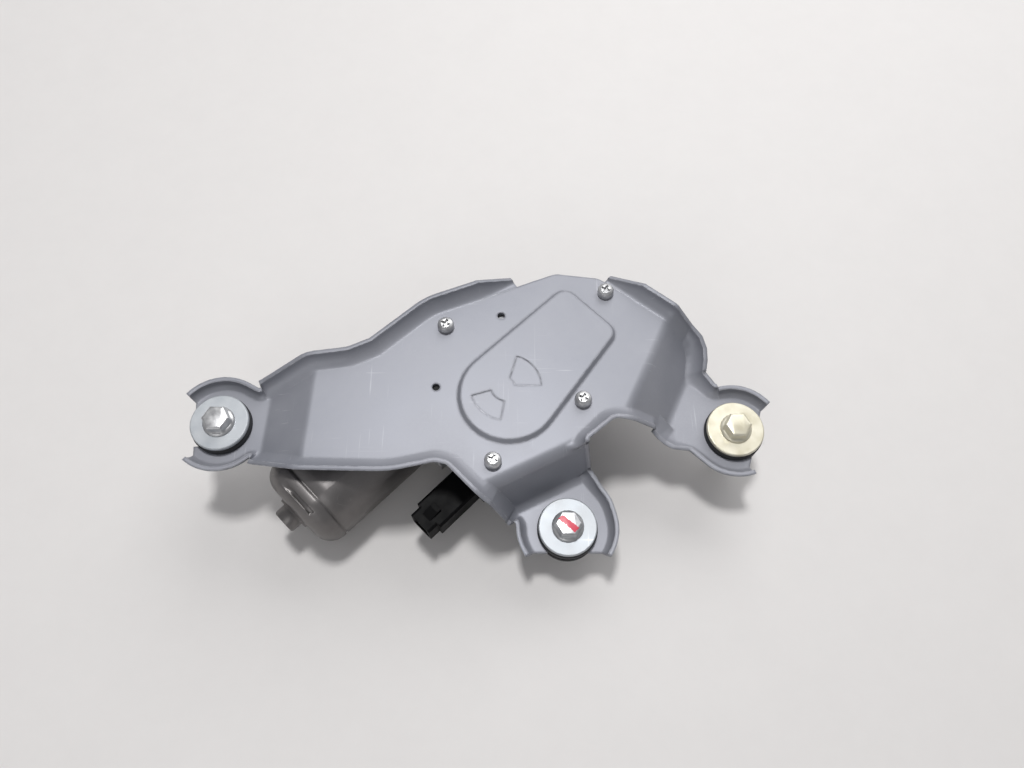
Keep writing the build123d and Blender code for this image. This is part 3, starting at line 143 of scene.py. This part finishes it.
def make_mottle_group():
    """Slow and fine unevenness of a plated or cast surface, with thin random scratches."""
    group, into, out = new_group(
        "surface_mottle",
        [("Cloud Scale", "NodeSocketFloat", 30.0), ("Grain Scale", "NodeSocketFloat", 900.0),
         ("Scratch Amount", "NodeSocketFloat", 0.3)],
        [("Cloud", "NodeSocketFloat"), ("Grain", "NodeSocketFloat"), ("Scratches", "NodeSocketFloat")])
    place = group.nodes.new("ShaderNodeTexCoord").outputs["Object"]
    cloud = noise(group, place, into.outputs["Cloud Scale"], 4.0)
    grain = noise(group, place, into.outputs["Grain Scale"], 2.0)
    masks = []
    for turn, stretch in SCRATCH_SETS:
        mapping = group.nodes.new("ShaderNodeMapping")
        mapping.inputs["Rotation"].default_value = (0.0, 0.0, turn)
        mapping.inputs["Scale"].default_value = stretch
        link(group, place, mapping.inputs["Vector"])
        streak = noise(group, mapping.outputs["Vector"], 1.0, 1.0)
        masks.append(remap(group, streak, *STREAK_SPAN))
    both = math_node(group, "MAXIMUM", masks[0], masks[1])
    patches = remap(group, noise(group, place, PATCH_SCALE, 2.0), *PATCH_SPAN)
    scratches = math_node(group, "MULTIPLY", both, patches)
    scratches = math_node(group, "MULTIPLY", scratches, into.outputs["Scratch Amount"])
    link(group, cloud, out.inputs["Cloud"])
    link(group, grain, out.inputs["Grain"])
    link(group, scratches, out.inputs["Scratches"])
    return group


def make_edge_group():
    """Mask of outer edges and bends, broken up by noise, for rubbed corners and a painted highlight along
    bends.
    """
    group, into, out = new_group(
        "rubbed_edges_and_bend_sheen",
        [("Breakup Scale", "NodeSocketFloat", 400.0), ("Amount", "NodeSocketFloat", 0.6)],
        [("Mask", "NodeSocketFloat")])
    bevel = group.nodes.new("ShaderNodeBevel")
    bevel.samples = BEVEL_SAMPLES
    bevel.inputs["Radius"].default_value = EDGE_RADIUS
    geometry = group.nodes.new("ShaderNodeNewGeometry")
    dot = group.nodes.new("ShaderNodeVectorMath")
    dot.operation = "DOT_PRODUCT"
    link(group, bevel.outputs["Normal"], dot.inputs[0])
    link(group, geometry.outputs["Normal"], dot.inputs[1])
    edge = remap(group, dot.outputs["Value"], *EDGE_SPAN)
    place = group.nodes.new("ShaderNodeTexCoord").outputs["Object"]
    broken = remap(group, noise(group, place, into.outputs["Breakup Scale"], 3.0), *BREAKUP_SPAN)
    mask = math_node(group, "MULTIPLY", edge, broken)
    mask = math_node(group, "MULTIPLY", mask, into.outputs["Amount"], clamp=True)
    link(group, mask, out.inputs["Mask"])
    return group


MOTTLE = make_mottle_group()
EDGES = make_edge_group()


def place_group(tree, group, **values):
    node = tree.nodes.new("ShaderNodeGroup")
    node.node_tree = group
    for label, value in values.items():
        node.inputs[label.replace("_", " ")].default_value = value
    return node


STRIPE_HEADING = math.radians(-41)
STRIPE_HALF = (4.2 * MM, 1.25 * MM, 1.2 * MM)
STRIPE_SOFT = 0.1 * MM
STRIPE_WANDER = 0.25 * MM
STRIPE_GRAIN = 900.0
STRIPE_RED = (214, 62, 84)


def paint_stripe(tree, spot):
    """Mask of a short brushed stripe of paint across a bolt head, round a spot on top of it."""
    mapping = tree.nodes.new("ShaderNodeMapping")
    mapping.vector_type = "TEXTURE"
    mapping.inputs["Location"].default_value = spot
    mapping.inputs["Rotation"].default_value = (0.0, 0.0, STRIPE_HEADING)
    place = tree.nodes.new("ShaderNodeTexCoord").outputs["Object"]
    link(tree, place, mapping.inputs["Vector"])
    brushed = noise(tree, place, STRIPE_GRAIN, 2.0)
    wander = remap(tree, brushed, *CLOUD_SPAN, -STRIPE_WANDER, STRIPE_WANDER)
    parts = tree.nodes.new("ShaderNodeSeparateXYZ")
    link(tree, mapping.outputs["Vector"], parts.inputs[0])
    masks = []
    for axis, half in enumerate(STRIPE_HALF):
        away = math_node(tree, "ADD", math_node(tree, "ABSOLUTE", parts.outputs[axis]), wander)
        masks.append(remap(tree, away, half + STRIPE_SOFT, half - STRIPE_SOFT))
    mask = math_node(tree, "MULTIPLY", masks[0], masks[1], clamp=True)
    return math_node(tree, "MULTIPLY", mask, masks[2], clamp=True)


def rgb(red, green, blue):
    """Linear colour of an sRGB triple in 0 to 255."""
    def linear(value):
        value /= 255
        return value / 12.92 if value <= 0.04045 else ((value + 0.055) / 1.055) ** 2.4
    return linear(red), linear(green), linear(blue), 1.0


GRAIN_SHARE = 0.35
SCRATCH_SHARE = 0.8
SCRATCH_POLISH = 0.15
BUMP_STRENGTH = 0.5


def finish_material(name, color, dark, light, metallic, roughness, spread, cloud=30.0, grain=900.0,
                    scratches=0.3, bump=0.00002, edge_color=None, edge=0.5, specular=0.5, rounding=0.0004,
                    stripe_at=None):
    """A worn solid finish: colour wanders from dark to light, roughness by spread, and edges are rubbed
    lighter, which on bends is also a painted highlight.

    Colours are sRGB triples. Cloud and grain are the scales of the slow and the fine unevenness.
    """
    color, dark, light = rgb(*color), rgb(*dark), rgb(*light)
    edge_color = rgb(*edge_color) if edge_color else light
    material = bpy.data.materials.new(name)
    material.use_nodes = True
    tree = material.node_tree
    shader = tree.nodes["Principled BSDF"]
    shader.inputs["Metallic"].default_value = metallic
    shader.inputs["Specular IOR Level"].default_value = specular
    mottle = place_group(tree, MOTTLE, Cloud_Scale=cloud, Grain_Scale=grain, Scratch_Amount=scratches)
    cloud_mark, grain_mark = mottle.outputs["Cloud"], mottle.outputs["Grain"]
    scratch_mark = mottle.outputs["Scratches"]
    base = mix_color(tree, remap(tree, cloud_mark, *CLOUD_SPAN), dark, light)
    base = mix_color(tree, remap(tree, grain_mark, *GRAIN_SPAN, 0.0, GRAIN_SHARE), base, color)
    base = mix_color(tree, math_node(tree, "MULTIPLY", scratch_mark, SCRATCH_SHARE), base, edge_color)
    # Edges and creases are mixed towards the edge colour: rubbed wear, and on bends a painted highlight.
    if edge > 0:
        rubbed_and_sheen = place_group(tree, EDGES, Amount=edge)
        base = mix_color(tree, rubbed_and_sheen.outputs["Mask"], base, edge_color)
    if stripe_at:
        stripe = paint_stripe(tree, stripe_at)
        base = mix_color(tree, stripe, base, rgb(*STRIPE_RED))
        link(tree, remap(tree, stripe, 0.0, 1.0, metallic, 0.0), shader.inputs["Metallic"])
    link(tree, base, shader.inputs["Base Color"])
    rough = remap(tree, cloud_mark, *CLOUD_SPAN, roughness - spread, roughness + spread)
    rough = math_node(tree, "SUBTRACT", rough, math_node(tree, "MULTIPLY", scratch_mark, SCRATCH_POLISH))
    link(tree, rough, shader.inputs["Roughness"])
    height = math_node(tree, "SUBTRACT", grain_mark, scratch_mark)
    bumps = tree.nodes.new("ShaderNodeBump")
    bumps.inputs["Strength"].default_value = BUMP_STRENGTH
    bumps.inputs["Distance"].default_value = bump
    link(tree, height, bumps.inputs["Height"])
    soft_corners = tree.nodes.new("ShaderNodeBevel")
    soft_corners.samples = BEVEL_SAMPLES
    soft_corners.inputs["Radius"].default_value = rounding
    link(tree, soft_corners.outputs["Normal"], bumps.inputs["Normal"])
    link(tree, bumps.outputs["Normal"], shader.inputs["Normal"])
    return material


FINISH_TABLE = {
    # The sheet's pale edge colour, strongly applied, paints a highlight along its bends and edges as well as
    # rubbed wear.
    "zinc_sheet": dict(
        color=(143, 144, 152), dark=(134, 136, 144), light=(153, 154, 161), metallic=0.3, roughness=0.46,
        spread=0.05, cloud=26.0, grain=1600.0, scratches=0.3, bump=0.000012, edge_color=(214, 215, 220),
        edge=0.8, rounding=0.0014),
    "zinc_screws": dict(
        color=(200, 200, 202), dark=(165, 165, 167), light=(220, 220, 220), metallic=0.85,
        roughness=0.36, spread=0.08, cloud=260.0, grain=2500.0, edge_color=(235, 235, 235)),
    "zinc_washers": dict(
        color=(178, 182, 187), dark=(168, 173, 178), light=(190, 193, 196), metallic=0.4, roughness=0.46,
        spread=0.05, cloud=120.0, grain=2200.0, edge_color=(235, 235, 235)),
    "yellow_zinc": dict(
        color=(222, 216, 196), dark=(212, 205, 180), light=(230, 226, 210), metallic=0.6, roughness=0.36,
        spread=0.06, cloud=150.0, grain=2200.0, edge_color=(240, 238, 226)),
    "grommet_rubber": dict(
        color=(30, 31, 34), dark=(24, 25, 27), light=(44, 45, 48), metallic=0.0, roughness=0.62,
        spread=0.08, cloud=160.0, grain=1800.0, scratches=0.1, bump=0.00004, edge=0.25,
        edge_color=(70, 70, 72)),
    "steel_yoke": dict(
        color=(118, 115, 114), dark=(102, 99, 98), light=(134, 131, 130), metallic=0.75, roughness=0.42,
        spread=0.07, cloud=45.0, grain=1500.0, scratches=0.5, edge_color=(165, 163, 161)),
    "die_cast_housing": dict(
        color=(150, 151, 154), dark=(130, 131, 134), light=(170, 171, 173), metallic=0.7, roughness=0.5,
        spread=0.08, cloud=60.0, grain=700.0, bump=0.00008, edge_color=(200, 200, 202)),
    "gasket": dict(
        color=(30, 30, 30), dark=(24, 24, 24), light=(40, 40, 40), metallic=0.0, roughness=0.7,
        spread=0.05, edge=0),
    "plug_plastic": dict(
        color=(6, 6, 7), dark=(4, 4, 5), light=(10, 10, 11), metallic=0.0, roughness=0.55, spread=0.08,
        cloud=180.0, grain=2600.0, scratches=0.2, bump=0.00002, edge=0.3, edge_color=(30, 30, 31),
        specular=0.12),
    "ferrite": dict(
        color=(52, 52, 54), dark=(44, 44, 46), light=(64, 64, 66), metallic=0.1, roughness=0.6,
        spread=0.08, edge=0.3),
    "sintered_bronze": dict(
        color=(176, 142, 92), dark=(150, 118, 72), light=(196, 166, 112), metallic=0.85, roughness=0.45,
        spread=0.08, cloud=200.0, grain=3000.0, bump=0.00003),
    "moulding": dict(
        color=(92, 66, 44), dark=(80, 56, 36), light=(108, 80, 56), metallic=0.0, roughness=0.5,
        spread=0.08, edge=0.2),
    "carbon": dict(
        color=(46, 46, 48), dark=(34, 34, 36), light=(60, 60, 62), metallic=0.2, roughness=0.5,
        spread=0.1, edge=0.2),
    "spring_steel": dict(
        color=(150, 148, 146), dark=(124, 122, 120), light=(180, 178, 176), metallic=0.95, roughness=0.3,
        spread=0.08),
    "contact_brass": dict(
        color=(206, 172, 98), dark=(188, 150, 80), light=(222, 194, 128), metallic=0.95, roughness=0.28,
        spread=0.08),
    "seal_rubber": dict(
        color=(34, 34, 36), dark=(26, 26, 28), light=(46, 46, 48), metallic=0.0, roughness=0.6,
        spread=0.06, edge=0.1),
    "hardware_steel": dict(
        color=(178, 178, 180), dark=(158, 158, 160), light=(202, 202, 203), metallic=0.95,
        roughness=0.27, spread=0.08, cloud=180.0, grain=2200.0, edge_color=(228, 228, 228)),
    "nylon": dict(
        color=(226, 222, 206), dark=(216, 210, 190), light=(234, 231, 219), metallic=0.0, roughness=0.45,
        spread=0.06, edge=0.15, scratches=0.1),
    "laminations": dict(
        color=(118, 116, 114), dark=(96, 94, 92), light=(140, 138, 136), metallic=0.85, roughness=0.42,
        spread=0.08),
    "copper_wire": dict(
        color=(176, 94, 52), dark=(150, 74, 38), light=(200, 120, 74), metallic=0.9, roughness=0.32,
        spread=0.08, cloud=400.0, grain=3000.0, bump=0.0002, edge=0.2),
    "commutator_copper": dict(
        color=(206, 140, 102), dark=(184, 116, 80), light=(224, 166, 130), metallic=0.95, roughness=0.26,
        spread=0.08),
    "gear_steel": dict(
        color=(128, 127, 126), dark=(104, 103, 102), light=(154, 153, 152), metallic=0.9, roughness=0.34,
        spread=0.08, cloud=120.0, grain=1800.0, edge_color=(196, 196, 196)),
}

FINISHES = {name: finish_material(name, **look) for name, look in FINISH_TABLE.items()}

for part in frame["record"]["subparts"]:
    node = nodes[part["node"]]
    node.data.materials.clear()
    node.data.materials.append(FINISHES[part["material_slot"]])


# Pieces that are drawn here in place of CAD nodes

WELD = 1e-6
SHARP_ANGLE = math.radians(32)


def node_mesh(name):
    """A merged copy of a CAD node's mesh, ready to be cut and added to."""
    shape = bmesh.new()
    shape.from_mesh(nodes[name].data)
    bmesh.ops.remove_doubles(shape, verts=shape.verts, dist=WELD)
    return shape


def finish_piece(shape, name, body, stands_for, slot, finish=None):
    """Turn the bmesh into a piece that rides on a body in place of a CAD node."""
    bmesh.ops.remove_doubles(shape, verts=shape.verts, dist=WELD)
    bmesh.ops.recalc_face_normals(shape, faces=shape.faces)
    mesh = bpy.data.meshes.new(name)
    shape.to_mesh(mesh)
    shape.free()
    piece = bpy.data.objects.new(name, mesh)
    bpy.context.collection.objects.link(piece)
    mesh.materials.append(finish or FINISHES[slot])
    for face in mesh.polygons:
        face.use_smooth = True
    mesh.set_sharp_from_angle(angle=SHARP_ANGLE)
    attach(piece, body)
    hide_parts(stands_for)


def ring_edges(result, key):
    """The edges among what a bmesh operator gives back."""
    return [item for item in result[key] if isinstance(item, bmesh.types.BMEdge)]


def corner_spots(items):
    """The vertices of some edges or faces, each once."""
    return list({spot for item in items for spot in item.verts})


def cut_off(shape, height, side):
    """Keep what stands above or below a height, closed by a flat face, which is returned."""
    cut = bmesh.ops.bisect_plane(shape, geom=shape.verts[:] + shape.edges[:] + shape.faces[:], dist=1e-8,
                                 plane_co=(0, 0, height), plane_no=(0, 0, 1), clear_inner=side == "below",
                                 clear_outer=side == "above")
    return bmesh.ops.holes_fill(shape, edges=ring_edges(cut, "geom_cut"), sides=0)["faces"]


# One pitch of a thread: how deep, as a share of its depth, and how far along, as a share of the pitch.
THREAD_PROFILE = ((1, 0.0), (1, 0.12), (0, 0.44), (0, 0.56), (1, 0.88), (1, 1.0))
THREAD_DEPTH = 0.58
THREAD_STEPS = 24


def add_thread(shape, center, top, bottom, radius, pitch, tip):
    """A screw thread between two heights, its end chamfered by tip, added to the bmesh as a closed solid."""
    part = bmesh.new()
    depth = THREAD_DEPTH * pitch
    turns = math.ceil((top - bottom) / pitch) + 2
    start = bottom - 1.5 * pitch
    spots = [part.verts.new((radius - deep * depth, 0, start + along * pitch))
             for deep, along in THREAD_PROFILE]
    line = [part.edges.new(pair) for pair in zip(spots, spots[1:])]
    bmesh.ops.spin(part, geom=spots + line, cent=(0, 0, 0), axis=(0, 0, 1), dvec=(0, 0, pitch / THREAD_STEPS),
                   angle=2 * math.pi * turns, steps=THREAD_STEPS * turns, use_merge=False)
    bmesh.ops.remove_doubles(part, verts=part.verts, dist=1e-7)
    cut_off(part, bottom, "below")
    cut_off(part, top, "above")
    for spot in part.verts:
        reach = math.hypot(spot.co.x, spot.co.y)
        limit = radius - tip + (spot.co.z - bottom)
        if reach > limit > 0:
            spot.co.x *= limit / reach
            spot.co.y *= limit / reach
    bmesh.ops.translate(part, verts=part.verts, vec=(center[0], center[1], 0))
    bmesh.ops.recalc_face_normals(part, faces=part.faces)
    mesh = bpy.data.meshes.new("thread")
    part.to_mesh(mesh)
    part.free()
    shape.from_mesh(mesh)
    bpy.data.meshes.remove(mesh)


def node_center(name):
    low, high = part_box(name)
    return (low[0] + high[0]) / 2, (low[1] + high[1]) / 2


BOLT_RADIUS, BOLT_PITCH = 3.0 * MM, 1.0 * MM
BOLT_THREAD = 11.5 * MM
BOLT_TIP = 0.7 * MM
CROWN_HEIGHT = 1.0 * MM
# The crown's chamfer in steps: how much of the width is kept, and the rise.
CROWN_STEPS = ((0.97, 0.55 * MM), (0.92, 0.35 * MM), (0.90, 0.1 * MM))
OVERLAP = 0.2 * MM


def make_threaded_bolts():
    """The lug bolts with a flat, chamfered head and a real M6 thread below the sleeves."""
    for side in ("left", "right", "bottom"):
        name = f"bolt_{side}"
        low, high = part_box(name)
        end, top = low[2], high[2]
        shape = node_mesh(name)
        thread_top = end + BOLT_TIP + BOLT_THREAD
        cut_off(shape, thread_top - OVERLAP, "below")
        center = node_center(name)
        crown = cut_off(shape, top - CROWN_HEIGHT, "above")
        for keep, rise in CROWN_STEPS:
            crown = bmesh.ops.extrude_discrete_faces(shape, faces=crown)["faces"]
            bmesh.ops.scale(shape, verts=corner_spots(crown), vec=(keep, keep, 1.0),
                            space=Matrix.Translation((-center[0], -center[1], 0)))
            bmesh.ops.translate(shape, verts=corner_spots(crown), vec=(0, 0, rise))
        add_thread(shape, center, thread_top, end, BOLT_RADIUS, BOLT_PITCH, BOLT_TIP)
        slot = "yellow_zinc" if side == "right" else "zinc_screws"
        finish = None
        if side == "bottom":
            finish = finish_material("zinc_with_paint_stripe", **FINISH_TABLE["zinc_screws"],
                                     stripe_at=(*center, top))
        finish_piece(shape, f"threaded_bolt_{side}", "frame", name, slot, finish)


SEAT_RADIUS = 5.0 * MM
SHAFT_THREAD_RADIUS, SHAFT_THREAD_PITCH, SHAFT_THREAD_TIP = 4.0 * MM, 1.25 * MM, 0.7 * MM
SHAFT_THREAD_TOP, TAPER_END, TAPER_START = FLOOR_Z + 3.2 * MM, FLOOR_Z + 3.8 * MM, FLOOR_Z + 7.0 * MM
NECK_RADIUS, NECK_LENGTH = 3.4 * MM, 0.9 * MM
KNURL_TEETH = 40
KNURL_DEPTH = 0.32 * MM
# Heights down the knurled taper, with the radius over its ridges at each.
TAPER_STEPS = ((TAPER_START - 0.3 * MM, 4.97 * MM), (TAPER_END + 0.2 * MM, 4.45 * MM), (TAPER_END, 4.2 * MM))


def make_shaft():
    """The output shaft with a knurled taper for the arm and an M8 thread at its end."""
    shape = node_mesh("output_shaft")
    cut_off(shape, TAPER_START, "below")
    ring = bmesh.ops.create_circle(shape, segments=2 * KNURL_TEETH, radius=SEAT_RADIUS)["verts"]
    bmesh.ops.translate(shape, verts=ring, vec=(0, 0, TAPER_START + 0.1 * MM))
    edges = list({edge for spot in ring for edge in spot.link_edges})
    bmesh.ops.contextual_create(shape, geom=edges)
    for height, base in TAPER_STEPS:
        edges = ring_edges(bmesh.ops.extrude_edge_only(shape, edges=edges), "geom")
        for spot in corner_spots(edges):
            angle = math.atan2(spot.co.y, spot.co.x)
            in_groove = round(angle / (math.pi / KNURL_TEETH)) % 2
            reach = base - (KNURL_DEPTH if in_groove else 0.0)
            spot.co = (reach * math.cos(angle), reach * math.sin(angle), height)
    bmesh.ops.contextual_create(shape, geom=edges)
    neck = bmesh.ops.create_cone(shape, cap_ends=True, segments=40, radius1=NECK_RADIUS, radius2=NECK_RADIUS,
                                 depth=NECK_LENGTH)["verts"]
    bmesh.ops.translate(shape, verts=neck, vec=(0, 0, (SHAFT_THREAD_TOP + TAPER_END) / 2))
    add_thread(shape, (0, 0), SHAFT_THREAD_TOP, FLOOR_Z, SHAFT_THREAD_RADIUS, SHAFT_THREAD_PITCH,
               SHAFT_THREAD_TIP)
    finish_piece(shape, "knurled_shaft", "output", "output_shaft", "hardware_steel")


# The motor's can has its own frame: x along the motor, y across it and z up from its axis, in millimetres.
WORM_Y, DRIVE_Z = 29.0, -22.0
YOKE_END = -131.4
YOKE_RADIUS, YOKE_HALF, YOKE_WALL = 21.0, 19.0, 1.8
CAN_CUT = YOKE_END + 12.0
RING_CUTS = 5
CORNER_POWER = 40
GROOVE_DEPTH = 0.55
DOME_START, DOME_LENGTH, DOME_INSET = YOKE_END + 5.0, 8.5, 9.0
DOME_STEPS = (1.5, 2.6, 3.0, 3.15, 4.85, 5.0, 5.6, 6.4, 7.1, 7.7, 8.15, 8.4, 8.5)
RECESS_HEADING, RECESS_HALF, RECESS_DEPTH = math.radians(102), math.radians(23), 1.1
RECESS_START, RECESS_END = 3.1, 4.9
DOME_END = DOME_START - DOME_LENGTH
BOSS_END = YOKE_END - 9.5
BEARING_ROOM = 4.5
# Places along the motor for the end's skin: x with the inset of the can, or with a radius on the boss.
GROOVE_SKIN = ((YOKE_END + 7.3, 0.0), (YOKE_END + 7.0, GROOVE_DEPTH), (YOKE_END + 6.3, GROOVE_DEPTH),
               (YOKE_END + 6.0, 0.0), (DOME_START, 0.0))
BOSS_SKIN = ((DOME_END, 7.6), (DOME_END - 0.9, 7.4), (DOME_END - 1.0, 7.1), (DOME_END - 1.0, 5.4),
             (BOSS_END + 0.7, 5.3), (BOSS_END, 4.7))
INSIDE_SKIN = ((DOME_START, YOKE_WALL), (YOKE_END + 1.0, 3.2), (YOKE_END - 1.0, 6.5))
INSIDE_BOSS_SKIN = ((YOKE_END - 1.6, 8.0), (YOKE_END - 1.6, BEARING_ROOM),
                    (BOSS_END + YOKE_WALL, BEARING_ROOM))


def turn_to_can_frame(shape, back=False):
    """Move a bmesh from the row frame in metres to the can's frame in millimetres, or back again."""
    axis_place = Vector((0, WORM_Y, DRIVE_Z))
    turn = Matrix.Rotation(MOTOR_ANGLE if back else -MOTOR_ANGLE, 3, "Z")
    if back:
        bmesh.ops.translate(shape, verts=shape.verts, vec=axis_place)
        bmesh.ops.rotate(shape, verts=shape.verts, cent=(0, 0, 0), matrix=turn)
        bmesh.ops.scale(shape, verts=shape.verts, vec=(MM, MM, MM))
        bmesh.ops.translate(shape, verts=shape.verts, vec=(0, 0, PLATE_Z))
    else:
        bmesh.ops.translate(shape, verts=shape.verts, vec=(0, 0, -PLATE_Z))
        bmesh.ops.scale(shape, verts=shape.verts, vec=(1 / MM, 1 / MM, 1 / MM))
        bmesh.ops.rotate(shape, verts=shape.verts, cent=(0, 0, 0), matrix=turn)
        bmesh.ops.translate(shape, verts=shape.verts, vec=-axis_place)


def can_reach(angle, inset):
    """How far the can's wall stands from its axis: a circle with two flats, the corners between rounded."""
    circle = YOKE_RADIUS - inset
    flat = (YOKE_HALF - inset) / max(abs(math.sin(angle)), 0.05)
    return (circle ** -CORNER_POWER + flat ** -CORNER_POWER) ** (-1 / CORNER_POWER)


def boss_reach(angle, radius):
    """The boss is round, so its reach is the radius at every angle."""
    return radius


def push_ring(shape, edges, stations, reach_at, recess=()):
    """Extrude a ring of edges through stations along the can, each new ring set to the outline there."""
    for x, size in stations:
        edges = ring_edges(bmesh.ops.extrude_edge_only(shape, edges=edges), "geom")
        for spot in corner_spots(edges):
            angle = math.atan2(spot.co.z, spot.co.y)
            reach = reach_at(angle, size)
            if x in recess and abs(angle - RECESS_HEADING) < RECESS_HALF:
                reach -= RECESS_DEPTH
            spot.co = (x, reach * math.cos(angle), reach * math.sin(angle))
    return edges


def on_outer_wall(spot):
    """Whether a corner of the cut can lies outside the middle of its wall, on a flat or on an arc."""
    middle = YOKE_WALL / 2
    return abs(spot.co.z) > YOKE_HALF - middle or math.hypot(spot.co.y, spot.co.z) > YOKE_RADIUS - middle


def make_can():
    """The motor's can: the flanged front of the CAD node, with a domed, grooved and recessed end drawn on."""
    shape = node_mesh("motor_yoke")
    turn_to_can_frame(shape)
    bmesh.ops.dissolve_limit(shape, angle_limit=math.radians(0.5), verts=shape.verts, edges=shape.edges)
    cut = bmesh.ops.bisect_plane(shape, geom=shape.verts[:] + shape.edges[:] + shape.faces[:], dist=1e-5,
                                 plane_co=(CAN_CUT, 0, 0), plane_no=(1, 0, 0), clear_inner=True)
    bmesh.ops.subdivide_edges(shape, edges=ring_edges(cut, "geom_cut"), cuts=RING_CUTS)
    rings = [edge for edge in shape.edges if edge.is_boundary]
    outer = [edge for edge in rings if all(on_outer_wall(spot) for spot in edge.verts)]
    inner = [edge for edge in rings if edge not in outer]
    dome_skin = [(DOME_START - along, DOME_INSET * (1 - math.sqrt(1 - (along / DOME_LENGTH) ** 2)))
                 for along in DOME_STEPS]
    recess = [DOME_START - along for along in DOME_STEPS if RECESS_START < along < RECESS_END]
    outer = push_ring(shape, outer, (*GROOVE_SKIN, *dome_skin), can_reach, recess)
    outer = push_ring(shape, outer, BOSS_SKIN, boss_reach)
    bmesh.ops.contextual_create(shape, geom=outer)
    inner = push_ring(shape, inner, INSIDE_SKIN, can_reach)
    inner = push_ring(shape, inner, INSIDE_BOSS_SKIN, boss_reach)
    bmesh.ops.contextual_create(shape, geom=inner)
    turn_to_can_frame(shape, back=True)
    finish_piece(shape, "drawn_can", "frame", "motor_yoke", "steel_yoke")


make_threaded_bolts()
make_shaft()
make_can()


# Floor, light and camera

FLOOR_HALF = 3.0
FLOOR_COLOR = (222, 219, 217)
FLOOR_ROUGHNESS = 0.55
FLOOR_DARKER = 0.975


def plain_material(name, color, roughness):
    """A pale matt surface with a faint cloudiness."""
    material = bpy.data.materials.new(name)
    material.use_nodes = True
    tree = material.node_tree
    shader = tree.nodes["Principled BSDF"]
    place = tree.nodes.new("ShaderNodeTexCoord").outputs["Object"]
    speckle = remap(tree, noise(tree, place, 60.0, 6.0, 0.7), *CLOUD_SPAN)
    darker = tuple(channel * FLOOR_DARKER for channel in color[:3]) + (1.0,)
    link(tree, mix_color(tree, speckle, darker, color), shader.inputs["Base Color"])
    shader.inputs["Roughness"].default_value = roughness
    return material


def make_floor():
    shape = bmesh.new()
    bmesh.ops.create_grid(shape, x_segments=1, y_segments=1, size=FLOOR_HALF)
    bmesh.ops.translate(shape, verts=shape.verts, vec=(0, 0, FLOOR_Z))
    mesh = bpy.data.meshes.new("floor")
    shape.to_mesh(mesh)
    shape.free()
    floor = bpy.data.objects.new("floor", mesh)
    bpy.context.collection.objects.link(floor)
    mesh.materials.append(plain_material("pale_table", rgb(*FLOOR_COLOR), FLOOR_ROUGHNESS))


make_floor()


LIGHT_TARGET = (-0.04, -0.03, 0)
ROOM_COLOR, ROOM_STRENGTH = (0.86, 0.87, 0.9, 1.0), 0.34
# Each soft lamp: its place, its two sides in metres, and its watts. The key stands almost overhead.
LAMPS = {
    "key_panel": ((-0.09, 0.3, 1.38), (0.2, 0.2), 10.0),
    "back_panel": ((0.45, 1.1, 0.95), (1.4, 0.9), 11.0),
    "front_panel": ((-0.5, -1.1, 0.7), (0.8, 0.5), 2.0),
}


def add_area_light(name, place, size, power):
    data = bpy.data.lights.new(name, "AREA")
    data.shape = "RECTANGLE"
    data.size, data.size_y = size
    data.energy = power
    light = bpy.data.objects.new(name, data)
    bpy.context.collection.objects.link(light)
    light.location = place
    light.rotation_euler = (Vector(LIGHT_TARGET) - Vector(place)).to_track_quat("-Z", "Y").to_euler()


for name, (place, size, power) in LAMPS.items():
    add_area_light(name, place, size, power)

world = bpy.data.worlds.new("room")
bpy.context.scene.world = world
world.use_nodes = True
sky = world.node_tree.nodes["Background"]
sky.inputs["Color"].default_value = ROOM_COLOR
sky.inputs["Strength"].default_value = ROOM_STRENGTH

# The photograph's view: a 28 mm lens on a 36 mm frame, looking 66 degrees down from 303 mm over the plate.
CAMERA_PLACE = (-25.7 * MM, -161.3 * MM, PLATE_Z + 303.3 * MM)
CAMERA_DOWN = 66
SENSOR_WIDTH = 36.0
FOCAL_SHARE = 800 / 1024
camera_data = bpy.data.cameras.new("photo_camera")
camera_data.sensor_width = SENSOR_WIDTH
camera_data.lens = FOCAL_SHARE * SENSOR_WIDTH
camera_data.clip_start = 0.01
camera = bpy.data.objects.new("photo_camera", camera_data)
bpy.context.collection.objects.link(camera)
camera.location = CAMERA_PLACE
camera.rotation_euler = (math.radians(90 - CAMERA_DOWN), 0, 0)
bpy.context.scene.camera = camera
bpy.context.scene.view_settings.view_transform = "Standard"
